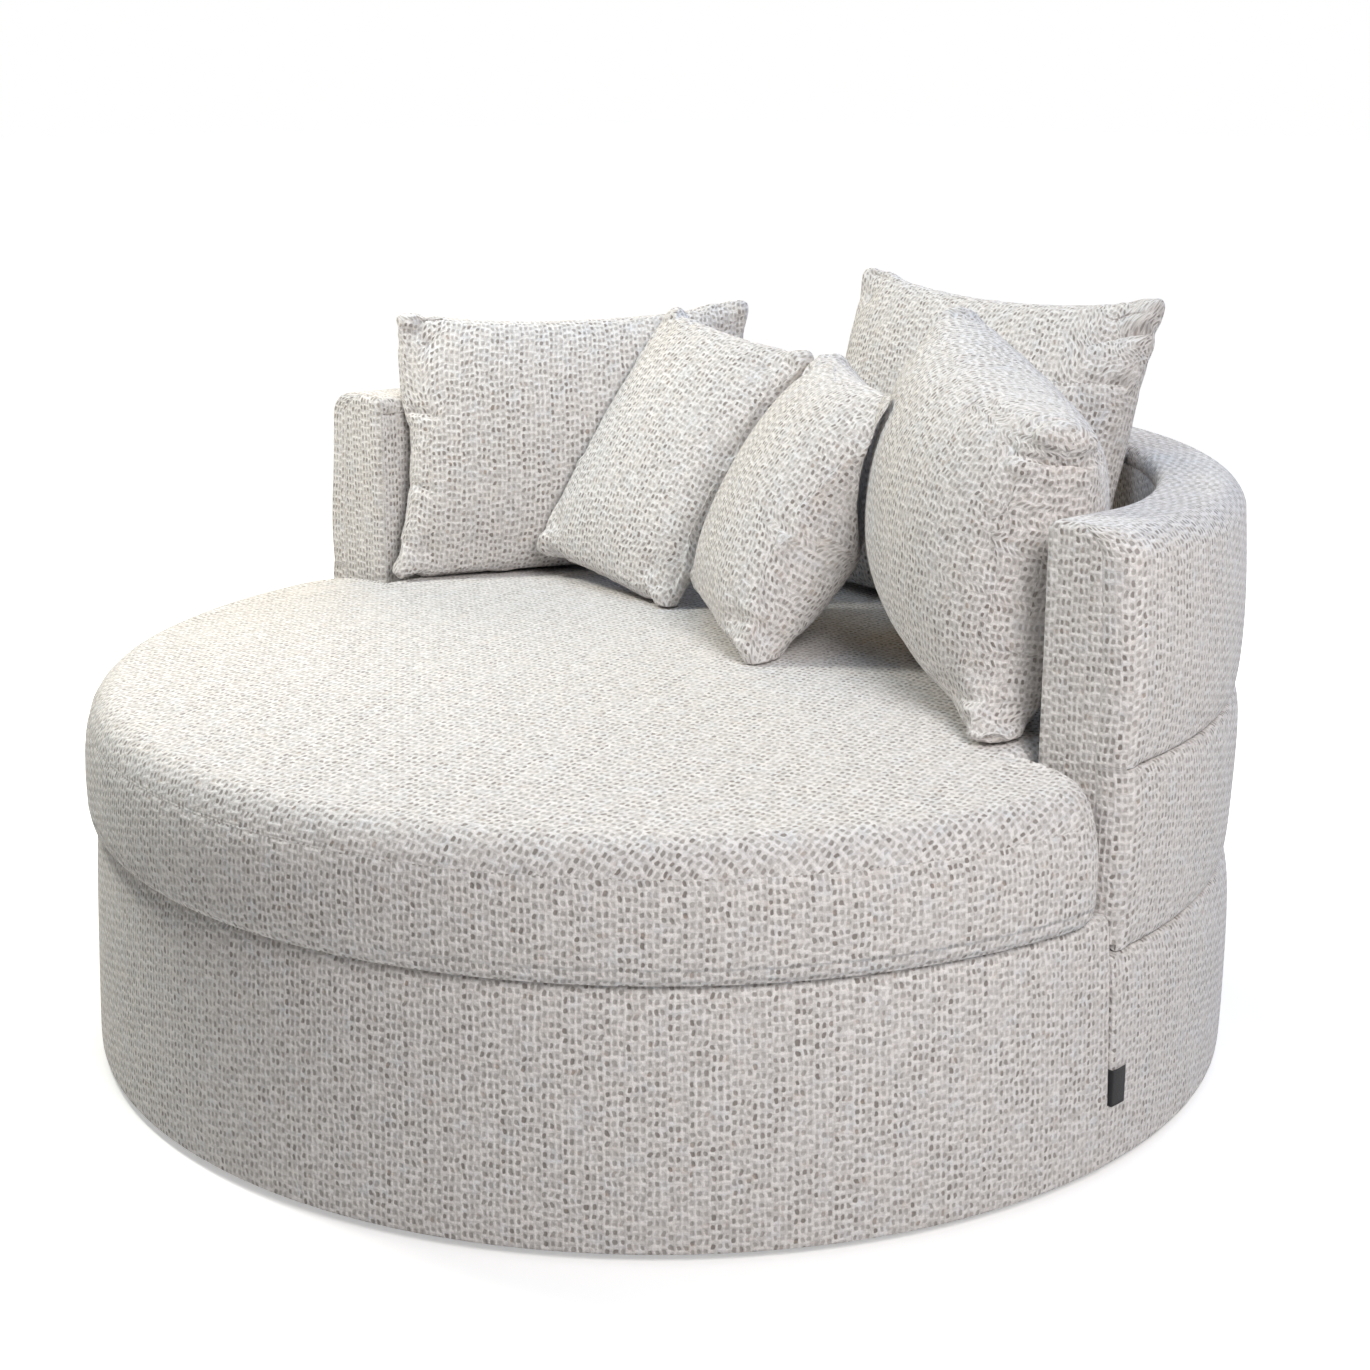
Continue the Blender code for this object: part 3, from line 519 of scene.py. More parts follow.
def makeRolls():
    s = shell
    # lower roll, down to the hem and forward to the corner seams
    angles = halfTurn(math.asin(drum["seamGap"] / 2 / s["seamLowRadius"]), 260)
    inner = [(drum["coverInner"], s["hemHeight"]), (drum["coverInner"], s["seamLow"] - s["crease"])]
    lower = roundPiece("backRollLower", angles, *lowerSide(eased(40)[None], rollTuck(angles)), inner, s["waviness"],
                       3.0, (s["seamEndRound"], s["seamEndRound"]))
    onShell(lower, "back_roll_lower")
    angles = halfTurn(backStart, 260)
    tuck = rollTuck(angles)
    armDepth = s["armThickness"] + s["armJoint"]
    inner = [(s["rollInnerRadius"], s["rollFoot"]), (s["rollInnerRadius"], s["seamHigh"] - s["crease"])]
    middle = roundPiece("backRollMiddle", angles, *middleSide(eased(40)[None], tuck), inner, s["waviness"],
                        4.0, s["cornerRound"], armDepth)
    onShell(middle, "back_roll_middle")
    # upper roll: inner lip, over the rounded top, down the outside
    head = np.repeat(np.concatenate(upperHead())[None], len(angles), 0)
    side = upperSide(eased(40)[None, 1:], tuck)
    radius, height = (np.concatenate([head[:, :, k], side[k]], 1) for k in (0, 1))
    inner = [(s["rollInnerRadius"], s["seamHigh"] + s["crease"]), (s["rollInnerRadius"], s["padTop"]),
             (s["innerRadius"], s["padTop"])]
    upper = roundPiece("backRollUpper", angles, radius, height, inner, s["waviness"], 5.0, s["cornerRound"], armDepth)
    onShell(upper, "back_roll_upper")


def makeInsidePad():
    s = shell
    angles = halfTurn(backStart, 220)
    low, high = s["padFoot"], s["padTop"] - s["joint"]
    share = eased(24)
    height = low + (high - low) * share
    radius = s["innerRadius"] + s["padDraw"] * (1 - (1 - np.abs(2 * share - 1) ** 8) ** 0.125)
    radius, height = (np.repeat(a[None, ::-1], len(angles), 0) for a in (radius, height))
    back = s["innerRadius"] + s["padThickness"]
    pad = roundPiece("insideBackPad", angles, radius, height, [(back, low), (back, high)], -0.0008, 6.0,
                     endStart=s["armThickness"])
    onShell(pad, "inside_back_pad")


def makeArmFronts():
    # The shell's own section as a padded face. It stands back at its edges by quarter circles, the
    # outer one as wide as the rolls' rounded ends, and a shallow seam runs down before that corner.
    s = shell
    inner, outer = upperHead()
    tuck = s["tuck"] * s["tuckEndShare"]
    upper, middle = upperSide(eased(40)[1:], tuck), middleSide(eased(30), tuck)
    sideR, sideZ = (np.concatenate([outer[:, k], upper[k], middle[k]])[::-1] for k in (0, 1))
    low, high = s["armFoot"], s["height"] - 0.0002
    rows = np.unique(np.concatenate([np.linspace(low, high - 0.04, 60),
                                     high - 0.04 * (1 - np.sin(np.linspace(0, np.pi / 2, 22)))]))
    depth, seamX = s["armThickness"], s["armSeamInset"]
    beside = np.array([0.0003, 0.001, 0.002, 0.0032, 0.005])
    groove = seamX + np.concatenate([beside[::-1], -beside])
    turn = (1 - np.linspace(0.94, 0, 22)[None] ** 1.7)
    rollPlace = rollCloth(inner, outer, upper, middle, rows)[:, None]
    for side, tag, corner in ((1, "Right", s["cornerRound"][0]), (-1, "Left", s["cornerRound"][1])):
        lastInset = corner - math.sqrt(corner ** 2 - (corner - depth) ** 2)
        right = np.interp(rows, sideZ, sideR)[:, None]
        right = right + armShift(right, rows[:, None], 0.0, 0.0 if side < 0 else 1.0)
        left = np.interp(rows, inner[:, 1], inner[:, 0])[:, None]
        left = left + armShift(left, rows[:, None], 0.0, 1.0)
        x = np.concatenate([left + (right - seamX - 0.008 - left) * np.sin(np.linspace(0, np.pi / 2, 26))[None],
                            right - groove[None], right - (groove[-1] + (lastInset - groove[-1]) * turn)], 1)
        z = np.repeat(rows[:, None], x.shape[1], 1)
        backs = (roundedBy(s["armRound"], x - left), roundedBy(corner, right - x),
                 roundedBy(s["armTopRound"], high - z))
        away = (right - x - seamX) / s["armSeamWidth"]
        y = s["frontY"] + (backs[0] ** 3 + backs[1] ** 3 + backs[2] ** 3) ** (1 / 3)
        uneven = 0.0004 * (1 + softNoise(x * 2, z * 2, 7.0)) * np.clip((right - x) / 0.02, 0, 1)
        y = np.clip(y + s["armSeamDepth"] * np.exp(-away ** 2) + uneven, s["frontY"], s["frontY"] + depth - 0.00002)
        z = z + armRise(z, 0.0)
        run = running(np.hypot(np.diff(x, axis=1), np.diff(y, axis=1)), 1)
        climb = running(np.hypot(np.diff(z, axis=0), np.diff(y, axis=0)), 0)
        # beyond the seam the cloth is the rolls' own: its places go on from theirs
        beyond = x > right - seamX
        edge = backStart if side > 0 else np.pi - backStart
        across = np.where(beyond, edge * s["topRadius"] + side * (run - run[:, -1:]), side * (run + left))
        cloth = np.stack([across, np.where(beyond, rollPlace, climb)], -1)
        front = np.stack([side * x, y, z], -1)
        back = np.stack([side * x, np.full_like(x, s["frontY"] + depth), z], -1)
        pad = slab("armFront" + tag, front, back, cloth, finishes["weave"])
        onShell(pad, "arm_front_pad_" + tag.lower())


def rollCloth(inner, outer, upper, middle, rows):
    # Where the cloth of the two rolls lies at each height of their outer side
    def lengths(radius, height):
        return height[0] - running(np.hypot(np.diff(radius), np.diff(height)), 0)
    upperPlace = lengths(*(np.concatenate([inner[:, k], outer[:, k], upper[k]]) for k in (0, 1)))
    heights = np.concatenate([outer[:, 1], upper[1]])[::-1]
    high = np.interp(rows, heights, upperPlace[len(inner):][::-1])
    return np.where(rows > shell["seamHigh"], high, np.interp(rows, middle[1][::-1], lengths(*middle)[::-1]))


makeBand()
makeRolls()
makeInsidePad()
makeArmFronts()
print("drum and shell covers made")


# Seat cushion. sideDraws has (share of the side's height, how far the plan is drawn in there).
seat = {
    "frontRadius": 0.749, "backRadius": 0.625, "armGap": 0.004, "cornerRadius": 0.055,
    "bottom": 0.3133, "sideHeight": 0.157, "crown": 0.028, "crownRadius": 0.700, "middle": (0.0, -0.200),
    "sideDraws": ((0.0, 0.014), (0.012, 0.0085), (0.05, 0.004), (0.14, 0.0012), (0.35, 0.0), (0.55, 0.0014),
                  (0.66, 0.004), (0.78, 0.0085), (0.85, 0.013), (0.92, 0.0205), (0.96, 0.028), (0.985, 0.0375),
                  (1.0, 0.049)),
    "seamShare": 0.758, "seamDepth": 0.0010, "seamWidth": 0.0050,
    "wave": 0.0016, "panelTurn": 15.0, "panelShift": (0.013, 0.004), "coreInset": 0.0045, "coreLift": 0.0018,
}


def seatHeight(x, y):
    s = seat
    return s["bottom"] + s["sideHeight"] + s["crown"] * (1 - (x ** 2 + y ** 2) / s["crownRadius"] ** 2)


def teeOutline(frontRadius, backRadius, frontEdge, corner, spacing):
    # Plan of the seat: a round front lobe, rounded corners before the arms, a round back
    centreX = math.sqrt((frontRadius - corner) ** 2 - (frontEdge + corner) ** 2)
    swing = math.atan2(frontEdge + corner, centreX)
    back = onCircle(backRadius, np.linspace(0, np.pi, int(np.pi * backRadius / spacing))[1:-1])
    frontCount = int((np.pi - 2 * swing) * frontRadius / spacing)
    front = onCircle(frontRadius, np.linspace(np.pi + swing, 2 * np.pi - swing, frontCount))
    arc = onCircle(corner, -swing + np.linspace(0, np.pi / 2 + swing, 12)[1:], (centreX, -frontEdge - corner))
    reach = np.linspace(centreX, backRadius, max(2, int((centreX - backRadius) / spacing)))[1:]
    right = np.concatenate([arc, np.stack([reach, np.full_like(reach, -frontEdge)], -1)])
    return np.concatenate([back, right[::-1] * (-1, 1), front, right])


def drawnIn(outline, middle, draw):
    # The outline moved towards its middle by the same length all round
    spokes = outline - middle
    lengths = np.linalg.norm(spokes, axis=1)
    return middle + spokes * ((lengths - draw) / lengths)[:, None]


def seatRings(inset, lower):
    # Side rings: the plan drawn in by a smooth shoulder, then the crown towards the middle
    s = seat
    middle = np.array(s["middle"])
    shares, draws = np.array(s["sideDraws"]).T
    nearSeam = s["seamShare"] + np.array([-0.045, -0.03, -0.018, -0.009, 0, 0.009, 0.018, 0.03, 0.045])
    fine = np.unique(np.concatenate([np.linspace(0, 1, 44), shares, nearSeam]))
    draw = np.interp(fine, shares, draws)
    draw[2:-2] = np.convolve(draw, np.array([1, 2, 3, 2, 1]) / 9, "valid")
    plan = teeOutline(s["frontRadius"] - inset, s["backRadius"] - inset, s["armGap"] + inset,
                      s["cornerRadius"] - inset, 0.009)
    shoulder = drawnIn(plan, middle, draws[-1])
    top = seatHeight(shoulder[:, 0], shoulder[:, 1]) - inset
    floor = s["bottom"] + lower
    rings = [np.column_stack((drawnIn(plan, middle, pull), floor + (top - floor) * share))
             for share, pull in zip(fine, draw)]
    edge = rings[-1][:, :2] - middle
    for share in np.linspace(1, 0, 52)[1:-1]:
        ring = middle + edge * share
        rings.append(np.column_stack((ring, seatHeight(ring[:, 0], ring[:, 1]) - inset)))
    return np.array(rings), fine


def makeSeat():
    s = seat
    rings, shares = seatRings(0.0, 0.0)
    sideRows = len(shares)
    centre = np.array(s["middle"])
    spoke = rings[:, :, :2] - centre
    spoke /= np.linalg.norm(spoke, axis=2)[:, :, None]
    # the sewn edge between top panel and boxing: a shallow valley with full edges beside it
    angle = np.arctan2(rings[0, :, 1] - centre[1], rings[0, :, 0])
    away = (shares[:, None] - s["seamShare"]) * s["sideHeight"] / s["seamWidth"]
    strong = 0.55 + 0.45 * np.cos(angle + 2.2)[None]
    valley = s["seamDepth"] * strong * (np.exp(-away ** 2) - 0.35 * np.exp(-((np.abs(away) - 2.2) / 1.3) ** 2))
    rings[:sideRows, :, :2] -= spoke[:sideRows] * valley[:, :, None]
    # broad unevenness of the filling, none where it rests or is fixed
    fade = np.ones(len(rings))
    fade[:sideRows] = np.sin(np.pi * np.clip(shares, 0, 0.5))
    ripple = s["wave"] * softNoise(rings[:, :, 0], rings[:, :, 1] + 0.8 * rings[:, :, 2], 8.0) * fade[:, None]
    rings[sideRows:, :, 2] += ripple[sideRows:] - s["wave"]
    sideRipple = ripple[:sideRows] - s["wave"] * fade[:sideRows, None]
    rings[:sideRows, :, :2] += spoke[:sideRows] * sideRipple[:, :, None] * 0.5
    rows, count = rings.shape[:2]
    closed = np.concatenate([rings, rings[:, :1]], 1)
    perimeter = running(np.linalg.norm(np.diff(closed[sideRows // 2, :, :2], axis=0), axis=1), 0)
    climb = np.linalg.norm(np.diff(closed, axis=0), axis=2)
    height = running(climb.mean(1), 0)
    boxing = np.stack([np.repeat(perimeter[None], rows, 0), np.repeat(height[:, None], count + 1, 1)], -1)
    # top panel: the same direction from the middle, as far out as the cloth runs, its grain turned
    turn = math.radians(s["panelTurn"])
    turned = np.array(((math.cos(turn), -math.sin(turn)), (math.sin(turn), math.cos(turn))))
    direction = closed[:, :, :2] - centre
    span = np.linalg.norm(direction, axis=2)
    run = running(climb[::-1], 0)[::-1]
    panel = direction / span[:, :, None] * (run + span[-1])[:, :, None] @ turned + s["panelShift"]
    corners, places = gridFaces(rows, count, wrap=True)
    seamRow = int(np.argmin(np.abs(shares - s["seamShare"])))
    onTop = np.repeat(places.reshape(-1, 4, 2)[:, 0, 0] >= seamRow, 4)
    cloth = np.where(onTop[:, None], panel[places[:, 0], places[:, 1]], boxing[places[:, 0], places[:, 1]])
    # closing fans: middle of the top and the underside
    middleTop = (*centre, seatHeight(*centre) - s["wave"])
    points = np.concatenate([rings.reshape(-1, 3), [middleTop, (*centre, s["bottom"])]])
    a = np.arange(count)
    b = (a + 1) % count
    last = (rows - 1) * count
    topFan = np.stack([last + a, np.full(count, rows * count), last + b], -1)
    lowFan = np.stack([a, b, np.full(count, rows * count + 1)], -1)
    fans = np.concatenate([topFan.ravel(), lowFan.ravel()])
    fanCloth = (points[fans][:, :2] - centre) @ turned + s["panelShift"]
    sizes = np.concatenate([np.full(len(corners) // 4, 4), np.full(2 * count, 3)])
    cushion = meshFrom("seatCushion", points, np.concatenate([corners, fans]), sizes,
                       np.concatenate([cloth, fanCloth]), finishes["weave"])
    finishPiece(cushion, "seat", ["seat_cushion_cover", "seat_cushion_underside"])
    core = ringsPiece("seatFoamCore", seatRings(s["coreInset"], s["coreLift"])[0][::4], finishes["foam"])
    finishPiece(core, "seat", ["seat_cushion_core"])


makeSeat()
print("seat cushion made")


# Scatter cushions: foot is the middle of the lower edge; heading is where the front looks, from -Y
# towards +X; lean tips the top back; roll turns it in its own plane. A fold runs from one place on
# the face to another, both as (u, v) from -1 to 1, then its depth and the side of its ridge. A flop
# moves one corner (u, v) across, up and ahead by three lengths, dying out over the last number.
cushions = {
    "cushionBackLarge": {
        "node": "cushion_back_large", "body": "back_large", "foot": (0.0950, 0.4302, 0.4873), "heading": -6.7,
        "lean": 15.5, "roll": 0.0, "width": 0.588, "height": 0.470, "skew": 0.008, "thickness": 0.170,
        "sideDraw": 0.06, "topDraw": 0.11, "bottomDraw": 0.0, "leansOn": (), "seed": 1, "flop": None,
        "folds": ((1.0, 0.82, 0.66, 0.62, 0.015, -1), (1.0, 0.50, 0.56, 0.40, 0.010, -1),
                  (-1.0, 0.1, -0.7, 0.0, 0.006, 1))},
    "cushionLeftLarge": {
        "node": "cushion_left_large", "body": "left_large", "foot": (-0.4617, 0.2403, 0.4833), "heading": 61.6,
        "lean": 7.8, "roll": 0.6, "width": 0.551, "height": 0.396, "skew": 0.066, "thickness": 0.165,
        "sideDraw": 0.085, "topDraw": 0.085, "bottomDraw": 0.0, "leansOn": (), "seed": 2, "flop": None,
        "folds": ((-1.0, 0.27, -0.72, 0.18, 0.009, -1), (-1.0, -0.30, -0.78, -0.36, 0.008, -1),
                  (-1.0, 0.88, -0.82, 0.84, 0.007, 1), (-1.0, -0.72, -0.80, -0.90, 0.007, -1))},
    "cushionRightLarge": {
        "node": "cushion_right_large", "body": "right_large", "foot": (0.3648, 0.1566, 0.5083), "heading": -33.2,
        "lean": 8.3, "roll": -9.5, "width": 0.5139, "height": 0.388, "skew": -0.100, "thickness": 0.270,
        "sideDraw": 0.06, "topDraw": 0.07, "bottomDraw": 0.0, "leansOn": ("cushionBackLarge",), "seed": 3,
        "flop": (1, -1, 0.026, 0.0, 0.030, 0.050),
        "folds": ((1.0, -0.86, 0.78, -0.96, 0.008, -1), (1.0, 0.74, 0.76, 0.80, 0.007, 1),
                  (0.30, 1.0, 0.42, 0.72, 0.007, 1))},
    "cushionLeftSmall": {
        "node": "cushion_left_small", "body": "left_small", "foot": (-0.2818, 0.1428, 0.5043), "heading": -2.3,
        "lean": 33.2, "roll": -7.5, "width": 0.332, "height": 0.426, "skew": -0.009, "thickness": 0.150,
        "sideDraw": 0.06, "topDraw": 0.06, "bottomDraw": 0.03,
        "leansOn": ("cushionLeftLarge", "cushionBackLarge"), "seed": 4, "flop": None,
        "folds": ((-0.62, -1.0, -0.42, -0.82, 0.005, 1), (-0.55, 1.0, -0.40, 0.80, 0.005, -1))},
    "cushionRightSmall": {
        "node": "cushion_right_small", "body": "right_small", "foot": (0.0327, 0.0799, 0.5013), "heading": -29.6,
        "lean": 32.6, "roll": -5.3, "width": 0.345, "height": 0.390, "skew": -0.135, "thickness": 0.195,
        "sideDraw": 0.06, "topDraw": 0.06, "bottomDraw": 0.03,
        "leansOn": ("cushionRightLarge", "cushionBackLarge"), "seed": 5, "flop": (1, 1, 0.032, 0.012, 0.0, 0.110),
        "folds": ((1.0, -0.72, 0.42, -0.88, 0.008, -1), (1.0, 0.66, 0.78, 0.60, 0.005, 1))},
}
filling = {
    "cells": 92, "bunching": 0.86, "fullness": 0.42, "startShare": 0.94, "frames": 20,
    "capOut": 0.004, "capIn": 0.016, "pressGap": 0.0018, "restGap": 0.0004, "shellShare": 0.9984,
    "flare": 0.034, "cornerDraw": 0.055, "ear": 0.0065, "earPlace": 0.016, "earWidth": 0.012,
    "dimple": 0.006, "dimplePlace": 0.047, "dimpleWidth": 0.018, "nip": 0.005, "nipPlace": 0.043, "nipWidth": 0.014,
    "crease": 0.0085, "seamReach": 0.012, "pucker": 0.0019, "puckerReach": 0.016, "scallop": 0.0013,
    "scallopReach": 0.010, "unevenness": 0.0022,
}
# The cover swells under pressure with a little cloth to spare, which makes the folds
clothSettings = {
    "quality": 5, "mass": 0.25, "tension_stiffness": 18.0, "compression_stiffness": 18.0, "shear_stiffness": 6.0,
    "bending_stiffness": 0.6, "use_pressure": True, "uniform_pressure_force": 4.0, "shrink_min": -0.035,
}


def cushionAxes(size):
    heading, lean, roll = (math.radians(size[key]) for key in ("heading", "lean", "roll"))
    ahead = np.array((math.sin(heading), -math.cos(heading), 0.0))
    across = np.array((math.cos(heading), math.sin(heading), 0.0))
    above = np.array((0.0, 0.0, 1.0))
    normal = ahead * math.cos(lean) + above * math.sin(lean)
    upward = -ahead * math.sin(lean) + above * math.cos(lean)
    right = across * math.cos(roll) + upward * math.sin(roll)
    rise = -across * math.sin(roll) + upward * math.cos(roll)
    return right, rise + size["skew"] * right, normal


def cushionFace(size, x, y):
    swell = np.maximum((1 - x ** 2) * (1 - y ** 2), 0)
    return size["thickness"] / 2 * swell ** filling["fullness"]


def seamWave(run, seed):
    # Uneven gathers along a seam: two sines of 24 and 39 mm whose strength comes and goes
    broad = 0.6 * np.sin(run / 0.0062 + seed * 2.3)
    fine = 0.5 * np.sin(run / 0.0038 + seed * 4.1 + 2 * np.sin(run / 0.021))
    return (broad + fine) * (0.55 + 0.45 * np.sin(run / 0.027 + seed * 1.3))


def bell(value, width):
    return np.exp(-(value / width) ** 2)


def cushionRelief(size, u, v, side):
    # Relief on the face and inward draw at the seam, both in metres.
    # pucker: wave(run) exp(-e / 16 mm), e from the seam; ears rise and dimples sink near the corners;
    # a fold is -depth exp(-(d / w)^2) beside a ridge, dying out along its run.
    f = filling
    x, y = u * size["width"] / 2, v * size["height"] / 2
    fromSide, fromEnd = (1 - np.abs(u)) * size["width"] / 2, (1 - np.abs(v)) * size["height"] / 2
    seed = size["seed"] + 0.5 * side
    nearest = np.minimum(fromSide, fromEnd)
    corner = np.clip(nearest / 0.003, 0, 1)
    sideWave, endWave = seamWave(y, size["seed"] + np.sign(u)), seamWave(x, size["seed"] + 3 + np.sign(v))
    bySide = sideWave * np.exp(-fromSide / f["puckerReach"]) * np.clip(fromEnd / 0.02, 0, 1)
    byEnd = endWave * np.exp(-fromEnd / f["puckerReach"]) * np.clip(fromSide / 0.02, 0, 1)
    relief = f["pucker"] * (bySide + byEnd) * corner
    relief += f["ear"] * bell(np.hypot(fromSide - f["earPlace"], fromEnd - f["earPlace"]), f["earWidth"])
    relief -= f["dimple"] * bell(np.hypot(fromSide - f["dimplePlace"], fromEnd - f["dimplePlace"]), f["dimpleWidth"])
    onFace = np.clip((1 - u ** 2) * (1 - v ** 2) * 3, 0, 1)
    relief += f["unevenness"] * softNoise(x * 1.6 + seed, y * 1.6, seed) * onFace
    draw = f["scallop"] * (np.exp(-fromSide / f["scallopReach"]) * sideWave
                           + np.exp(-fromEnd / f["scallopReach"]) * endWave)
    # the seam is nipped in a little way from each corner, which leaves the corner as an ear
    nearSeam = np.exp(-nearest / f["seamReach"])
    draw += f["nip"] * bell(np.hypot(fromSide, fromEnd) - f["nipPlace"], f["nipWidth"]) * nearSeam
    place, half = np.stack([x, y], -1), np.array((size["width"], size["height"])) / 2
    for u0, v0, u1, v1, depth, ridge in size["folds"]:
        start = half * (u0, v0)
        run = half * (u1, v1) - start
        length = np.linalg.norm(run)
        along = (place - start) @ run / length ** 2
        beside = (place - start) @ np.array((-run[1], run[0])) / length * ridge
        width = f["crease"] * (0.65 + 0.5 * np.clip(along, 0, 1))
        fade = np.clip(1 - along, 0, 1) ** 1.3 * np.clip(1 + along * 8, 0, 1)
        if side > 0:
            relief += depth * fade * (0.55 * bell(beside - 1.9 * width, 1.15 * width) - bell(beside, width)) * corner
        draw += 0.45 * depth * fade * nearSeam * bell(beside, 1.3 * width)
    return relief, draw


def cushionPoints(size, u, v, side, share):
    # x = u (1 - draw u u (1 - v v)), y alike, corners flared by (u v) ^ 6 and rounded by (u v) ^ 16;
    # off = thickness / 2 ((1 - u u)(1 - v v)) ^ fullness, with the relief on top
    right, rise, normal = cushionAxes(size)
    endDraw = np.where(v > 0, size["topDraw"], size["bottomDraw"])
    relief, draw = cushionRelief(size, u, v, side)
    face = cushionFace(size, u, v)
    out = 1 + filling["flare"] * np.abs(u * v) ** 6 - filling["cornerDraw"] * np.abs(u * v) ** 16
    x = u * (1 - size["sideDraw"] * u ** 2 * (1 - v ** 2)) * out
    y = v * (1 - endDraw * v ** 2 * (1 - u ** 2)) * out
    x = x * size["width"] / 2 - np.sign(u) * draw * np.abs(u) ** 8
    y = (y + 1) * size["height"] / 2 - np.sign(v) * draw * np.abs(v) ** 8
    off = side * (face * share + relief * np.clip(face / 0.02, 0, 1))
    if size["flop"]:
        cornerU, cornerV, across, up, ahead, reach = size["flop"]
        near = bell(np.hypot((u - cornerU) * size["width"], (v - cornerV) * size["height"]) / 2, reach)
        x, y, off = x + across * near, y + up * near, off + ahead * near
    return np.array(size["foot"]) + x[:, None] * right + y[:, None] * rise + off[:, None] * normal


def press(points, behind):
    # Points inside the cushion behind go out along that one's normal to just before its face
    right, rise, normal = cushionAxes(behind)
    axes = np.column_stack((right * behind["width"] / 2, rise * behind["height"] / 2, normal))
    foot = np.array(behind["foot"])
    places = np.linalg.solve(axes, (points - foot).T).T
    x, y = places[:, 0], places[:, 1] - 1
    over = (np.abs(x) < 1) & (np.abs(y) < 1)
    face = cushionFace(behind, np.clip(x, -1, 1), np.clip(y, -1, 1)) + filling["pressGap"]
    places[:, 2] = np.where(over, np.maximum(places[:, 2], face), places[:, 2])
    return foot + places @ axes.T


def settle(points):
    # Onto the seat's crown below and against the shell's inside
    rest = filling["restGap"]
    limit = shell["innerRadius"] * filling["shellShare"] - rest
    limit = limit - shell["armInward"] * (1 - smoothly(points[:, 1] / shell["armInwardFade"]))
    behind = points[:, 1] > 0
    reach = np.hypot(points[:, 0], np.where(behind, points[:, 1], 0))
    beside = (reach > limit) & (points[:, 2] < shell["height"] + shell["armLift"] + rest)
    scale = np.where(beside, limit / np.maximum(reach, limit), 1.0)
    points[:, 0] *= scale
    points[:, 1] *= np.where(behind, scale, 1.0)
    points[:, 2] = np.maximum(points[:, 2], seatHeight(points[:, 0], points[:, 1]) + rest)
    return points


def fit(points, size):
    for name in size["leansOn"]:
        points = press(points, cushions[name])
    return settle(points)


def simulate(piece):
    # Where the cloth simulation takes each point of a closed bag, without gravity
    cloth = piece.modifiers.new("filling", "CLOTH")
    for name, value in clothSettings.items():
        setattr(cloth.settings, name, value)
    cloth.settings.effector_weights.gravity = 0.0
    cloth.collision_settings.use_collision = False
    cloth.point_cache.frame_start = 1
    cloth.point_cache.frame_end = filling["frames"]
    for number in range(1, filling["frames"] + 1):
        scene.frame_set(number)
    result = piece.evaluated_get(bpy.context.evaluated_depsgraph_get()).data
    moved = np.empty(len(result.vertices) * 3, np.float32)
    result.vertices.foreach_get("co", moved)
    piece.modifiers.remove(cloth)
    scene.frame_set(1)
    return moved.reshape(-1, 3).astype(float)


def filledOut(target, bag):
    # Adds the simulated bag's shift to the wanted form, with the shift out and along the face capped
    shift = simulate(bag) - target
    normals = np.empty(len(target) * 3, np.float32)
    bag.data.vertices.foreach_get("normal", normals)
    normals = normals.reshape(-1, 3)
    bpy.data.objects.remove(bag)
    out = np.einsum("ij,ij->i", shift, normals)
    side = shift - out[:, None] * normals
    length = np.linalg.norm(side, axis=1)
    side *= (np.minimum(length, filling["capIn"]) / np.maximum(length, 1e-9))[:, None]
    out = np.clip(out, -filling["capIn"], filling["capOut"])
    print("  moved by the filling, mm:", np.round(1000 * np.percentile(out, (1, 50, 99)), 1),
          "along:", np.round(1000 * np.percentile(length, (50, 99)), 1))
    return target + side + out[:, None] * normals


def clothLengths(grid):
    # Each point's cloth place: lengths along its row and its column from the middle ones
    middle = grid.shape[0] // 2
    across, along = (running(np.linalg.norm(np.diff(grid, axis=axis), axis=2), axis) for axis in (1, 0))
    return np.stack([across - across[:, middle:middle + 1], along - along[middle:middle + 1]], -1)


def makeCushion(name, size):
    cells = filling["cells"]
    bend = np.pi / 2 * filling["bunching"]
    line = np.sin(np.linspace(-1, 1, cells + 1) * bend) / math.sin(bend)
    v, u = (grid.ravel() for grid in np.meshgrid(line, line, indexing="ij"))
    number = np.arange(len(u)).reshape(cells + 1, cells + 1)
    corners, places = gridFaces(cells + 1, cells + 1)
    # the back shares the front's edge points
    inner = np.zeros_like(number, bool)
    inner[1:-1, 1:-1] = True
    backNumber = number.copy()
    backNumber[inner] = len(u) + np.arange(inner.sum())

    def fitted(share):
        front, back = (cushionPoints(size, u, v, side, share) for side in (1, -1))
        return fit(np.concatenate([front, back[inner.ravel()]]), size)

    target = fitted(1.0)
    backCorners = backNumber.ravel()[corners].reshape(-1, 4)[:, ::-1].ravel()
    flipped = places.reshape(-1, 4, 2)[:, ::-1].reshape(-1, 2)
    corners = np.concatenate([corners, backCorners])
    sizes = np.full(len(corners) // 4, 4)
    bag = meshFrom(name + "Bag", fitted(filling["startShare"]), corners, sizes, np.zeros((len(corners), 2)),
                   finishes["weave"])
    target = fit(filledOut(target, bag), size)
    shift = (size["seed"] * 0.37, 0.5)
    cloth = np.concatenate([(clothLengths(target[grid]) + shift)[spots[:, 0], spots[:, 1]]
                            for grid, spots in ((number, places), (backNumber, flipped))])
    piece = meshFrom(name, target, corners, sizes, cloth, finishes["weave"])
    smooth = piece.modifiers.new("smooth", "SUBSURF")
    smooth.levels = smooth.render_levels = 1
    finishPiece(piece, size["body"], [size["node"]])
    print("cushion:", name)


for cushionName, cushionSize in cushions.items():
    makeCushion(cushionName, cushionSize)


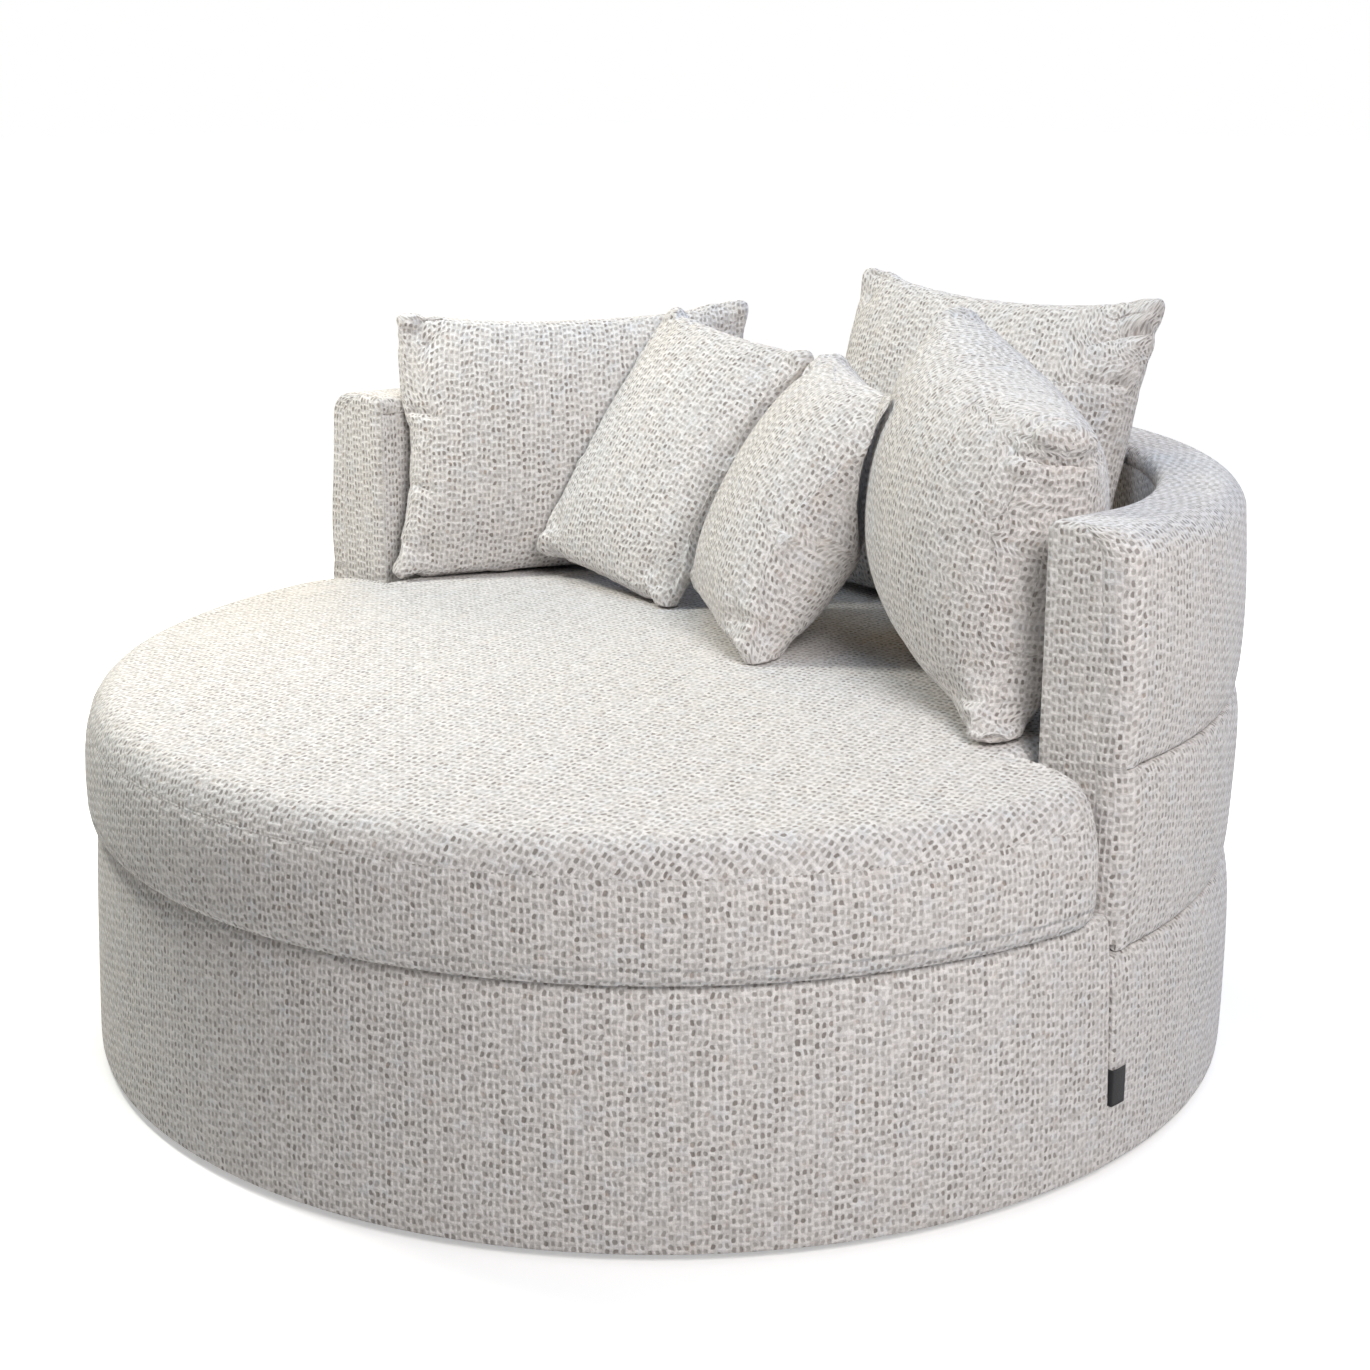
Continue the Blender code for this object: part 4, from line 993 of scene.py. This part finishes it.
# Deck pad under the seat cushion, straps, dust cover and the bare tape tab. An edge has
# (how far it is drawn in, height) up the piece's side.
deck = {"radius": 0.7150, "backRadius": 0.625, "armGap": 0.004, "cornerRadius": 0.055, "spacing": 0.02,
        "edge": ((0.004, 0.2790), (0.0, 0.2840), (0.0, 0.30285), (0.003, 0.30885), (0.010, 0.31285))}
straps = {"width": 0.070, "thickness": 0.0018, "wave": 0.0013, "spacing": 0.220, "eachWay": 4,
          "ringInner": 0.572, "hold": 0.050, "bottom": 0.2743}
label = {"low": 0.085, "height": 0.045, "fold": 0.025, "root": 0.018, "thickness": 0.0006,
         "bow": 0.0006, "lift": 0.0005, "leafGap": 0.0004}
dust = {"radius": 0.705, "width": 1.41, "edge": ((0.0005, 0.0130), (0.0, 0.0136), (0.0005, 0.0142))}


def layered(name, outline, edge, material, middle):
    # A closed piece from one plan outline, with flat faces above and below
    rings = np.array([np.column_stack((drawnIn(outline, np.array(middle), draw), np.full(len(outline), z)))
                      for draw, z in edge])
    return ringsPiece(name, rings, material)


def makeDeckPad():
    d = deck
    outline = teeOutline(d["radius"], d["backRadius"], d["armGap"], d["cornerRadius"], d["spacing"])
    onShell(layered("deckPad", outline, d["edge"], finishes["lining"], seat["middle"]), "deck_pad")


def makeStraps():
    # Each centre line is a wave whose crests lie at the crossings, flat on the ring at its ends
    t = straps
    middle = t["bottom"] + t["thickness"] / 2 + t["wave"]
    offsets = (np.arange(t["eachWay"]) - (t["eachWay"] - 1) / 2) * t["spacing"]
    for way, word in ((0, "Across"), (1, "Along")):
        for index, offset in enumerate(offsets):
            reach, seated = (math.sqrt(radius ** 2 - (abs(offset) + t["width"] / 2) ** 2)
                             for radius in (t["ringInner"] + t["hold"], t["ringInner"]))
            station = np.linspace(-reach, reach, 90)
            sign = 1 if (index + way) % 2 == 0 else -1
            wave = sign * t["wave"] * np.cos(np.pi * (station - offsets[0]) / t["spacing"])
            leave = offsets[-1] + 0.6 * t["width"]
            ease = np.clip((np.abs(station) - leave) / max(seated - leave, 1e-6), 0, 1)
            height = middle + wave * (1 - ease) - t["wave"] * ease
            side = offset + t["width"] / 2 * np.array([-1, -0.94, -0.5, 0, 0.5, 0.94, 1])
            thick = t["thickness"] / 2 * np.array([0.45, 1, 1, 1, 1, 1, 0.45])
            run, across = np.meshgrid(station, side, indexing="ij")
            x, y = (run, across) if way == 0 else (across, run)
            top, low = (np.stack([x, y, height[:, None] + part], -1) for part in (thick, -thick))
            strap = slab(f"strap{word}{index + 1}", top, low, np.stack([run, across], -1), finishes["webbing"])
            onShell(strap, f"strap_{word.lower()}_{index + 1}")


def makeLabel():
    # A folded tape in the corner seam, bare: root between the covers, leaf lying on the roll
    t = label
    radius, height = lowerSide(np.linspace(0, 1, 200), shell["tuck"] * shell["tuckEndShare"])
    rows = np.linspace(t["low"], t["low"] + t["height"], 14)
    leaf = np.interp(rows, height[::-1], radius[::-1]) + t["lift"]
    run = np.concatenate([np.linspace(-t["root"], -0.002, 6), np.linspace(0, t["fold"], 16)])
    x = leaf[:, None] + np.where(run < 0, run, t["bow"] * np.sin(np.pi * run / t["fold"]))[None]
    y, z = np.meshgrid(np.maximum(run, 0.0), rows)
    onLeaf = y > 0
    x = np.where(onLeaf, np.sqrt(np.maximum(x ** 2 - y ** 2, 0)) + t["leafGap"], x)
    half, pinched = t["thickness"] / 2, 0.4 * drum["seamGap"]
    front, back = (np.stack([np.where(onLeaf, x + way * half, x), np.where(onLeaf, y, -way * pinched), z], -1)
                   for way in (1, -1))
    place = np.stack([np.repeat(run[None], len(rows), 0), z], -1)
    onShell(slab("bareTab", front, back, place, finishes["black_tape"]), "label_tab")


def makeDustCover():
    # Thin cloth stretched under the base
    d = dust
    outline = onCircle(d["radius"], np.linspace(0, 2 * np.pi, 181)[:-1])
    cover = layered("dustCover", outline, d["edge"], finishes["dust_cloth"], (0.0, 0.0))
    onShell(cover, "dust_cover")


makeDeckPad()
makeStraps()
makeLabel()
makeDustCover()
slots = {row["node"]: row["material_slot"] for row in frame["record"]["subparts"]}
kept = [name for name, node in frame["nodes"].items() if not node.hide_render]
for name in kept:
    materials = frame["nodes"][name].data.materials
    materials.clear()
    materials.append(finishes[slots[name]])
print("kept nodes dressed:", len(kept))


# Floor, background, lights and camera. A glow is (distance from the middle, strength).
stage = {"reach": 30.0, "colour": (0.80, 0.80, 0.80), "nearGlow": (0.80, 0.42), "farGlow": (1.35, 1.0), "sky": 0.02}
lamps = {
    "keyLamp": ((-1.05, -0.85, 1.95), (0.0, -0.1, 0.4), 0.42, 25.5, (1.0, 0.996, 0.91)),
    "ceilingLamp": ((0.0, 0.0, 3.2), (0.0, 0.0, 0.4), 2.6, 21.0, (0.50, 0.75, 1.0)),
    "fillLamp": ((2.6, -0.9, 2.4), (0.0, -0.1, 0.4), 1.6, 74.0, (1.0, 0.96, 0.94)),
    "backLamp": ((0.0, 2.8, 2.2), (0.0, -0.1, 0.4), 2.0, 36.0, (0.64, 0.75, 1.0)),
    "leftBackLamp": ((-2.6, 1.2, 2.2), (0.0, -0.1, 0.4), 2.0, 50.0, (1.0, 0.80, 0.50)),
}
view = {
    "place": (2.1481, -2.0121, 1.2450), "lens": 60.28, "heading": math.radians(46.873) - 0.0105193,
    "pitch": 0.268750625, "roll": 0.00313236,
}


def seenStraight(tree):
    # 1 for what the camera sees, also in a reflection or through glass
    rays = addNode(tree, "ShaderNodeLightPath").outputs
    camera, glossy, through = (Value(rays[f"Is {kind} Ray"]) for kind in ("Camera", "Glossy", "Transmission"))
    return camera.calc("MAXIMUM", glossy.calc("MAXIMUM", through))


def makeFloor():
    # Its glow rises to white away from the object, whose shadow stays near it
    reach = stage["reach"]
    square = [(-reach, -reach, 0), (reach, -reach, 0), (reach, reach, 0), (-reach, reach, 0)]
    mesh = bpy.data.meshes.new("floor")
    mesh.from_pydata(square, [], [(0, 1, 2, 3)])
    floor = bpy.data.objects.new("floor", mesh)
    scene.collection.objects.link(floor)
    material = newMaterial("paleFloor", 0.9, 0.1)
    tree = material.node_tree
    shader = tree.nodes["Principled BSDF"]
    put(shader.inputs["Base Color"], stage["colour"])
    away = addNode(tree, "ShaderNodeVectorMath", operation="LENGTH")
    put(away.inputs[0], objectPlace(material))
    (near, low), (far, high) = stage["nearGlow"], stage["farGlow"]
    rising = smoothRange(Value(away.outputs["Value"]), near, far, low, high)
    glow = addNode(tree, "ShaderNodeEmission")
    put(glow.inputs["Strength"], seenStraight(tree) * rising)
    total = addNode(tree, "ShaderNodeAddShader")
    put(total.inputs[0], Value(shader.outputs[0]))
    put(total.inputs[1], Value(glow.outputs[0]))
    put(tree.nodes["Material Output"].inputs["Surface"], Value(total.outputs[0]))
    mesh.materials.append(material)


def makeSky():
    world = bpy.data.worlds.new("studio")
    scene.world = world
    world.use_nodes = True
    setInputs(world.node_tree.nodes["Background"], {
        "Color": (1.0, 1.0, 1.0), "Strength": seenStraight(world.node_tree) * (1 - stage["sky"]) + stage["sky"]})


def placed(name, data, right, up, back, place):
    # A lamp or camera that looks against `back`
    made = bpy.data.objects.new(name, data)
    scene.collection.objects.link(made)
    made.matrix_world = Matrix([[right[i], up[i], back[i], place[i]] for i in range(3)] + [[0, 0, 0, 1]])
    return made


def areaLamp(name, place, target, size, power, colour):
    data = bpy.data.lights.new(name, "AREA")
    data.shape = "DISK"
    data.size = size
    data.energy = power
    data.color = colour
    ahead = np.array(target) - np.array(place)
    ahead /= np.linalg.norm(ahead)
    side = np.cross(ahead, (0.0, 0.02, 1.0))
    side /= np.linalg.norm(side)
    placed(name, data, side, np.cross(side, ahead), -ahead, place)


def makeCamera():
    h, p, r = view["heading"], view["pitch"], view["roll"]
    back = np.array([math.sin(h) * math.cos(p), -math.cos(h) * math.cos(p), math.sin(p)])
    level = np.array([math.cos(h), math.sin(h), 0.0])
    over = np.cross(back, level)
    data = bpy.data.cameras.new("photoView")
    data.lens = view["lens"]
    data.sensor_width = 36.0
    data.clip_end = 100.0
    scene.camera = placed("photoView", data, math.cos(r) * level + math.sin(r) * over,
                          -math.sin(r) * level + math.cos(r) * over, back, view["place"])


makeFloor()
makeSky()
for lampName, facts in lamps.items():
    areaLamp(lampName, *facts)
makeCamera()
scene.view_settings.view_transform = "Standard"
